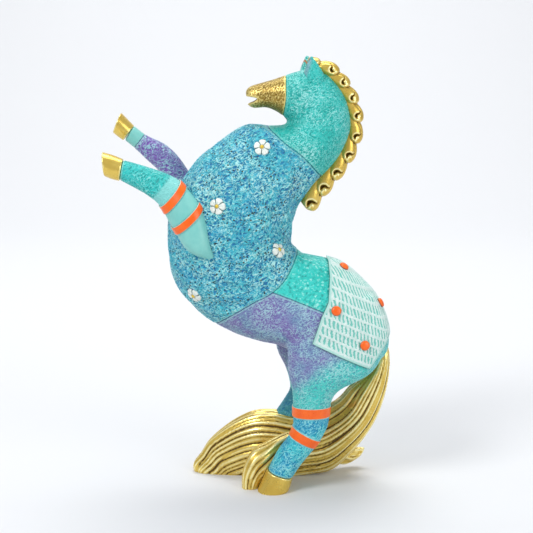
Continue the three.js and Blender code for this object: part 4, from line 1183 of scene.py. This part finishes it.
def maneLocks(spec):
    # Comma shells, then the dents and beads of their curls as x, z, size and height in mm
    commas, dents, beads = [], [], []
    places = [(spec["firstCurl"] - spec["forelockBack"], spec["forelockSize"])]
    for i in range(spec["locks"] - 1):
        a, b, c = spec["size"]
        places.append((spec["firstCurl"] + spec["pitch"] * i + spec["spread"] * i * i, a + b * i + c * i * i))
    shares = np.linspace(0, 1, spec["grooveSteps"])
    widths = np.interp(shares, spec["grooveShares"], spec["grooveWidths"])
    depths = np.interp(shares, spec["grooveShares"], spec["grooveDepths"])
    for curl, size in places:
        pitch, reach, half = spec["pitch"] * size, spec["reach"] * size, spec["halfWidth"] * size

        def at(down, out):
            return crestPlace(max(curl + down * pitch, spec["start"]), out * reach)

        stations = [[*at(a, b), *at(c, d), half * w, 0] for a, b, c, d, w in spec["comma"]]
        commas.append(loft(stations, *spec["mesh"], fullness=2.0))
        middle = at(*spec["curlPlace"])
        along = at(spec["curlPlace"][0] + 0.1, spec["curlPlace"][1]) - middle
        hook = [at(*point) for point in spec["rim"]]
        for degrees in spec["pitTurns"]:
            turn = math.atan2(along[1], along[0]) + math.radians(180 + degrees)
            hook.append(middle + spec["pitRadius"] * size * np.array([math.cos(turn), math.sin(turn)]))
        for spot, wide, deep in zip(throughPoints(hook, shares), widths, depths):
            dents.append([*spot, wide * size, deep * size])
        beads.append([*middle, spec["bead"] * size, half * spec["beadTop"]])
    return commas, dents, beads


def curled(points, dents, beads):
    # Presses the curls into both flanks of the mane
    flat, wide = points[:, [0, 2]], np.abs(points[:, 1])
    depth = np.zeros(len(wide))
    for x, z, size, deep in dents:
        away = np.linalg.norm(flat - (x, z), axis=1)
        depth = np.maximum(depth, deep * np.exp(-(away / size) ** 2))
    reach = np.maximum(wide - depth, 0.3 * wide)
    for x, z, size, top in beads:
        away = np.linalg.norm(flat - (x, z), axis=1)
        dome = top - size + np.sqrt(np.maximum(size ** 2 - away ** 2, 0))
        reach = np.where((away < size) & (wide > 0.4 * top), np.maximum(reach, dome), reach)
    points[:, 1] = np.sign(points[:, 1]) * reach
    return points


commas, dents, beads = maneLocks(maneForm)
mane = remeshed(joined("maneCasting", *commas), *finish["mane"])
putPoints(mane, curled(pointsOf(mane), dents, beads))
combine(mane, "DIFFERENCE", skin)
markCavity(mane, maneForm["rounds"], maneForm["hollow"])
dressed(coated(mane, paints["gold"]), "gold_paint", "mane")


# Tail: strands run from the dock to the floor and forward between the legs

tailForm = {
    "sweep": [
        [77.5, 89, 85.1, 102, 5, 0], [74.5, 81.5, 86.9, 91, 7.5, 0],
        [67.5, 74.5, 86.2, 75.5, 10.5, 1.5], [59.5, 67, 82.8, 57.5, 13, 4],
        [53, 58.5, 75.6, 38.5, 15, 7],
        [45.5, 52, 64, 20, 15.5, 12], [33, 46, 48, 2.5, 16.5, 17],
        [19, 43, 28, -3, 17.5, 18], [5, 45.2, 12, -7, 18, 19],
        [-9, 44.2, -1, -10, 17, 19.5], [-22, 38.2, -8, -12, 15.5, 20.5],
        [-33.5, 30, -13, -14, 13.5, 21], [-42, 22.3, -16, -15, 12, 21],
        [-47.4, 13.6, -18, -15.5, 11, 20.5], [-53.2, 5.5, -20, -16, 9.5, 20],
        [-52.4, -3, -24, -16.5, 6, 20],
    ],
    "frontLobe": [
        [22, 20, 24, 39, 7, -3], [11, 12, 10, 35.5, 8.5, -8], [3, 5, 0.5, 32, 9.5, -12],
        [-3, 2, -8.5, 28, 9, -15], [-5.5, -1, -14, 20.5, 8, -17],
        [-7, -4, -17.2, 10, 6.5, -18], [-8.5, -8, -17.5, -3, 4.5, -19],
    ],
    "rearCurl": [
        [48, 6, 56, 21, 7, 20], [57, 3.5, 63, 16, 5.5, 25],
        [64, 5, 68.5, 15, 4.2, 28], [69.5, 8.5, 72.5, 14.5, 2, 29],
    ],
    "farLobe": [
        [-12, 20, -9, 35.5, 7, 26], [-24, 13, -20.5, 33.5, 7, 28],
        [-34, 10, -30.5, 29, 5.5, 28], [-40.5, 11, -37, 21, 2.5, 27],
    ],
    "thick": {"count": 8, "depth": 1.7, "turn": 0.7, "uneven": 0.45, "round": 2.2},
    "thin": {"count": 38, "depth": 1.3, "turn": 0.8, "uneven": 0.6, "round": 2.4},
    "lobeThick": {"count": 5, "depth": 1.1, "turn": 0.4, "uneven": 0.4, "round": 2.2},
    "lobeThin": {"count": 17, "depth": 1.1, "turn": 0.5, "uneven": 0.6, "round": 2.4},
    "sweepSeed": 4,
    "lobeSeed": 20,
    "mesh": (190, 320),  # rings and sides of the sweep
    "lobeMesh": (70, 180),
    "clearance": 0.3,  # beside the legs
    "clearMesh": (60, 40),
    "rounds": 7,
    "hollow": 0.24,
}


def strandRidges(seed, *levels):
    # Strands of uneven width whose ridges rise and fade along the lock
    random = np.random.default_rng(seed)
    drawn = []
    for level in levels:
        widths = random.uniform(1 - level["uneven"], 1 + level["uneven"], level["count"])
        edges = np.concatenate([[0], np.cumsum(widths)]) / widths.sum()
        drawn.append((edges, *random.uniform((-0.25, 0, 3), (0.25, 6.3, 8), (level["count"], 3)).T))

    def height(t, angle):
        total = 0.0
        for level, (edges, rise, phase, pace) in zip(levels, drawn):
            way = angle / (2 * math.pi) + 0.02 * np.sin(2 * angle + 5 * t) + level["turn"] / 8 * t
            way = way + 0.2 / level["count"] * np.sin(9 * t + 2 * angle)
            way = way - np.floor(way)
            number = np.clip(np.searchsorted(edges, way, side="right") - 1, 0, level["count"] - 1)
            share = edges[number + 1] - edges[number]
            arch = 1 - np.abs(2 * (way - edges[number]) / share - 1) ** level["round"]
            fade = 0.72 + 0.28 * np.sin(phase[number] + pace[number] * t)
            tall = level["depth"] * np.sqrt(share * level["count"])
            total = total + tall * (fade * (arch - 1) + 0.15 + rise[number])
        return total * np.clip(np.minimum(t, 1 - t) * 9 + 0.15, 0, 1)
    return height


ridges = strandRidges(tailForm["sweepSeed"], tailForm["thick"], tailForm["thin"])
tailShells = [loft(tailForm["sweep"], *tailForm["mesh"], strands=ridges)]
for k, lobe in enumerate(("frontLobe", "rearCurl", "farLobe")):
    ridges = strandRidges(tailForm["lobeSeed"] + k, tailForm["lobeThick"], tailForm["lobeThin"])
    tailShells.append(loft(tailForm[lobe], *tailForm["lobeMesh"], strands=ridges))
tail = remeshed(joined("tailCasting", *tailShells), *finish["tail"])
combine(tail, "DIFFERENCE", underFloor, skin)
for name, side in (("nearHind", -1), ("farHind", 1), ("nearHindHoof", -1), ("farHindHoof", 1)):
    room = loft(form[name], *tailForm["clearMesh"], tailForm["clearance"], side)
    combine(tail, "DIFFERENCE", joined(name + "Room", room), last=True)
markCavity(tail, tailForm["rounds"], tailForm["hollow"])
dressed(coated(tail, paints["gold"]), "gold_paint", "tail")


# Rump cloth with rows of stitches that follow the back

clothForm = {
    "rise": 1.8,
    "rowPitch": 6.4,
    "rowWidth": 5.0,
    "rowDepth": 0.1,
    "stitchPitch": 3.1,
    "stitchWidth": 0.44,  # share of the pitch
    "lean": -0.42,
    "depth": 0.45,
    "roundShare": 0.7,
    "white": tint(218, 230, 226), "whiteToo": tint(184, 214, 208), "groove": tint(112, 190, 178),
    "edge": tint(150, 206, 196), "line": tint(60, 110, 104), "rough": 0.55,
}
stitchNames = {
    "Row pitch": "rowPitch", "Row width": "rowWidth", "Stitch pitch": "stitchPitch",
    "Stitch width": "stitchWidth", "Lean": "lean",
}


def clothWays(points, spec):
    # Rise above the straight lower edge of the cloth, and the way along a row and round behind
    start, end = (np.array(seams["cloth"][k], float) for k in (6, 8))
    along = (end - start) / np.linalg.norm(end - start)
    flat = points[:, [0, 2]] - start
    return flat @ np.array([-along[1], along[0]]), spec["roundShare"] * np.abs(points[:, 1]) - flat @ along


def stitchField(sheet, rise, way, rowPitch, rowWidth, stitchPitch, width, lean):
    # Share 0 to 1 of a sunk row and of a stitch in it
    row = (rise + rowWidth * -0.5) / rowPitch
    number = row.sum("FLOOR")
    brick = number.sum("PINGPONG", 1.0) * 0.5
    stir = sheet.noise(0.35, at=sheet.add("ShaderNodeCombineXYZ", (rise, way))) - 0.5
    stitch = ((rise * lean + way) / stitchPitch + stir * 0.9 + brick).sum("FRACT")
    half = stir * 0.14 + rowWidth / rowPitch * 0.5
    thin = width * 0.5
    inRow = abs(row - number - 0.5).ease(half - 0.07, half + 0.05, 1.0, 0.0)
    return inRow, inRow * abs(stitch - 0.5).ease(thin - 0.12, thin + 0.12, 1.0, 0.0)


def stitchMaker():
    maker = Maker("clothStitches", [*stitchNames, "Row depth", "Depth"])
    ways = [maker.named(name) for name in ("rise", "way")]
    row, stitch = stitchField(maker, *ways, *(maker.enter[name] for name in stitchNames))
    sink = row * maker.enter["Row depth"] + stitch * maker.enter["Depth"]
    return maker.pushed(sink * maker.named("border").ease(1.8, 2.8) * -1.0)


def clothPaint(name, look):
    paint = Paint(name)
    ways = [paint.marked(name) for name in ("rise", "way")]
    row, stitch = stitchField(paint, *ways, *(look[key] for key in stitchNames.values()))
    border = paint.marked("border")
    cloud = paint.noise(160.0, 3.0, 0.6)
    fine = paint.noise(900.0, 3.0, 0.65)
    colour = paint.blend(fine.map(0.4, 0.62), look["white"], look["whiteToo"])
    colour = paint.blend(cloud.map(0.35, 0.7, 0.0, 0.6), colour, look["whiteToo"])
    share = stitch * border.ease(1.4, 2.2)
    colour = paint.blend(((fine - 0.5) * 0.7 + share).ease(0.3, 0.75), colour, look["groove"])
    colour = paint.blend(border.map(1.3, 2.0, 0.75, 0.0), colour, look["edge"])
    colour = paint.blend(border.map(0.15, 0.4, 0.9, 0.0), colour, look["line"])
    return paint.shade(
        colour, fine.map(0.3, 0.7, look["rough"] - 0.08, look["rough"] + 0.1), gloss=0.35,
        normal=paint.bump(fine * 0.35 - share, 0.5),
    )


cloth = bodySkin("cloth", clothForm["rise"], finish["clothShell"])
combine(cloth, "INTERSECT", cutters["cloth"])
combine(cloth, "DIFFERENCE", skin)
remeshed(cloth, *finish["cloth"])
clothPoints = pointsOf(cloth)
for name, values in zip(("rise", "way"), clothWays(clothPoints, clothForm)):
    mark(cloth, name, values)
mark(cloth, "border", lineDistance(clothPoints, seams["cloth"][:10]))
clothSkin = copyOf(cloth, "clothSkin")
stitchMaker().run(cloth, {
    **{name: clothForm[key] for name, key in stitchNames.items()},
    "Row depth": clothForm["rowDepth"] * mm,
    "Depth": clothForm["depth"] * mm,
    "Finish": clothPaint("stitchedCloth", clothForm),
})
dressed(cloth, "mint_paint", "rump_blanket")


# Flowers and studs, seated square to the surface under them

daisyForm = {
    "radius": 5.5,
    "petals": 5,
    "rim": 0.6,
    "petalTop": 1.7,
    "heart": 1.35,
    "heartTop": 2.6,
    "foot": -1.2,
    "rings": 18,
    "sides": 120,
    "places": [(-3, 240.9), (-32.7, 202.5), (7.8, 171.1), (-49.4, 139.3)],
    "spins": (0.2, 0.9, 1.7, 2.6),
}
studForm = {
    "radius": 3.45,
    "height": 2.0,
    "foot": -1.0,
    "rings": 12,
    "sides": 40,
    "beside": [(47.4, 130.8), (67.1, 106.8)],
    "ridge": [(0.744, 14, 40), (0.851, 15.5, 40)],  # share down the trunk, degrees round on each side
}


def turnedShape(name, spec, top, edge):
    # Round shape from its middle outwards: height top(share, turn), radius edge(turn)
    def across(share, turn):
        return edge(turn) * share * math.cos(turn), edge(turn) * share * math.sin(turn)

    rings, count = spec["rings"], spec["sides"]
    turns = [2 * math.pi * j / count for j in range(count)]
    verts = [(0.0, 0.0, top(0.0, 0.0))]
    for share in [i / rings for i in range(1, rings + 1)]:
        verts += [(*across(share, t), top(share, t)) for t in turns]
    verts += [(*across(1.0, t), spec["foot"]) for t in turns]
    verts.append((0.0, 0.0, spec["foot"]))
    faces = []
    for j in range(count):
        k = (j + 1) % count
        faces += [(0, 1 + j, 1 + k), (len(verts) - 1, 1 + rings * count + k, 1 + rings * count + j)]
        faces += [(a + j, a + count + j, a + count + k, a + k) for a in range(1, rings * count, count)]
    return closedMesh(name, np.array(verts) * mm, faces)


def daisyShape(spec):
    def petal(turn):
        return abs(math.cos(spec["petals"] * turn / 2))

    def edge(turn):
        return spec["radius"] * (0.76 + 0.24 * min(1.0, petal(turn) * 1.3) ** 0.6)

    def top(share, turn):
        heart = max(0.0, 1 - (share * edge(turn) / spec["heart"]) ** 2)
        if heart > 0:
            return spec["petalTop"] * 0.6 + (spec["heartTop"] - spec["petalTop"] * 0.6) * math.sqrt(heart)
        across = petal(turn)
        groove = 0.2 + 0.8 * min(1.0, across * 2.6) ** 0.6
        crease = 1 - 0.22 * max(0.0, 1 - (1 - across) * 26) * max(0.0, 1 - share)
        crown = math.sin(math.pi * min(1.0, 0.3 + 0.66 * share)) ** 0.45
        return spec["rim"] + (spec["petalTop"] - spec["rim"]) * groove * crease * crown

    daisy = turnedShape("daisyShape", spec, top, edge)
    x, y = vectorsOf(daisy.data.vertices, "co").T[:2] / mm
    radius = np.hypot(x, y)
    across = np.abs(np.cos(spec["petals"] * np.arctan2(y, x) / 2))
    outside = radius > spec["heart"]
    # Painted shade in the petal gaps and creases, round the heart and at the outer edge
    crease = np.clip(1 - 22 * (1 - across), 0, 1) * np.clip(1.3 - radius / (0.62 * spec["radius"]), 0, 1)
    ring = np.clip(1 - np.abs(radius - spec["heart"] * 1.15) / 0.3, 0, 1)
    rim = np.clip((radius - spec["radius"] * 0.9) / 0.5, 0, 1) * 0.25
    dip = np.clip(1.3 - 3.4 * across, 0, 1) * outside
    mark(daisy, "heart", radius < spec["heart"] * 1.02)
    mark(daisy, "dip", np.max([dip, crease * outside * 0.8, ring, rim], axis=0))
    return daisy


def studShape(spec):
    def top(share, turn):
        return spec["height"] * (0.8 * (1 - share**2.6) ** 0.5 + 0.2 * (share < 1))

    stud = turnedShape("studShape", spec, top, lambda turn: spec["radius"])
    height = vectorsOf(stud.data.vertices, "co")[:, 2] / mm
    # The rim mark picks out the stud's foot for its painted shade
    mark(stud, "rim", np.clip((0.75 - height) / 0.3, 0, 1))
    return stud


def ornamentMaker():
    maker = Maker("seatedOrnaments", objects=["Ornament"])
    shape = maker.add("GeometryNodeObjectInfo", {"Object": maker.enter["Ornament"]}, "Geometry")
    facing = {"Vector": maker.named("facing", "FLOAT_VECTOR")}
    upright = maker.add("FunctionNodeAlignRotationToVector", facing, "Rotation", axis="Z")
    seats = {"Points": maker.enter["Geometry"], "Instance": shape, "Rotation": upright}
    spin = maker.add("ShaderNodeCombineXYZ", {"Z": maker.named("spin")})
    placed = maker.add("GeometryNodeInstanceOnPoints", seats, "Instances")
    return maker.close(maker.add("GeometryNodeRotateInstances", {"Instances": placed, "Rotation": spin}))


seatedOrnaments = ornamentMaker()
outside = 150.0  # where a seat is looked for from


def seatAt(surface, start, way):
    return surface.ray_cast(Vector(toRow(start)), Vector(way))[:2]


def besideSeat(surface, x, z, side):
    return seatAt(surface, [x, side * outside, z], (0, -side, 0))


def spineSeat(surface, share, nearDegrees, farDegrees, side):
    front, back = (throughPoints([station[k:k + 2] for station in form["trunk"]], [share])[0] for k in (0, 2))
    turn = math.radians(nearDegrees if side < 0 else farDegrees)
    out = (back - front) / np.linalg.norm(back - front) * math.cos(turn)
    way = np.array([out[0], side * math.sin(turn), out[1]])
    middle = (front + back) / 2
    return seatAt(surface, np.array([middle[0], 0.0, middle[1]]) + way * outside, -way)


def ornaments(name, seats, spins, shape, material, slot, nodes):
    mesh = bpy.data.meshes.new(name)
    mesh.from_pydata([seat[0] for seat in seats], [], [])
    facing = mesh.attributes.new("facing", "FLOAT_VECTOR", "POINT")
    facing.data.foreach_set("vector", np.array([seat[1] for seat in seats], np.float32).ravel())
    obj = linked(name, mesh)
    mark(obj, "spin", spins)
    seatedOrnaments.run(obj, {"Ornament": shape, "Finish": material})
    drop(shape)
    dressed(obj, slot, *nodes)


daisyPetal = {
    # dip is the painted shade between and along the petals
    "white": tint(236, 238, 230), "whiteToo": tint(208, 222, 216), "dip": tint(96, 126, 122),
    "heart": tint(222, 190, 66),
}


def daisyPaint(name, look):
    paint = Paint(name)
    fine = paint.noise(900.0, 3.0, 0.6)
    heart = paint.marked("heart")
    white = paint.blend(fine.map(0.42, 0.6), look["white"], look["whiteToo"])
    white = paint.blend(((fine - 0.5) * 0.8 + paint.marked("dip")).ease(0.25, 0.8), white, look["dip"])
    return paint.shade(
        paint.blend(heart, white, look["heart"]), fine.map(0.3, 0.7, 0.36, 0.52), metallic=heart * 0.5,
        normal=paint.bump(fine, 0.3),
    )


skinTree, clothTree = treeOf(skin), treeOf(clothSkin)
daisySeats, studSeats = [], []
for side in (-1, 1):
    daisySeats += [besideSeat(skinTree, *place, side) for place in daisyForm["places"]]
    studSeats += [spineSeat(clothTree, *place, side) for place in studForm["ridge"]]
    studSeats += [besideSeat(clothTree, *place, side) for place in studForm["beside"]]
ornaments("daisies", daisySeats, daisyForm["spins"] * 2, daisyShape(daisyForm),
          daisyPaint("daisyWhite", daisyPetal), "daisy_white",
          [f"{side}_daisy_{i}" for side in ("near", "far") for i in range(1, 5)])
ornaments("studs", studSeats, np.zeros(len(studSeats)), studShape(studForm), paints["stud"], "orange_enamel",
          [f"{side}_stud_{i}" for side in ("near", "far") for i in range(1, 5)])


# Steel wires inside the legs

def wireSteel(name):
    paint = Paint(name)
    drawn = paint.noise(1500.0, 3.0, 0.6)
    colour = paint.blend(drawn, tint(150, 152, 156), tint(108, 110, 114))
    return paint.shade(colour, drawn.map(0.3, 0.7, 0.28, 0.45), metallic=1.0)


steel = wireSteel("drawnSteel")
for name in ("near_hind_armature", "far_hind_armature", "near_fore_armature", "far_fore_armature"):
    coated(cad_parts[name], steel)

drop(skin, clothSkin, underFloor, *legs.values(), *cutters.values())
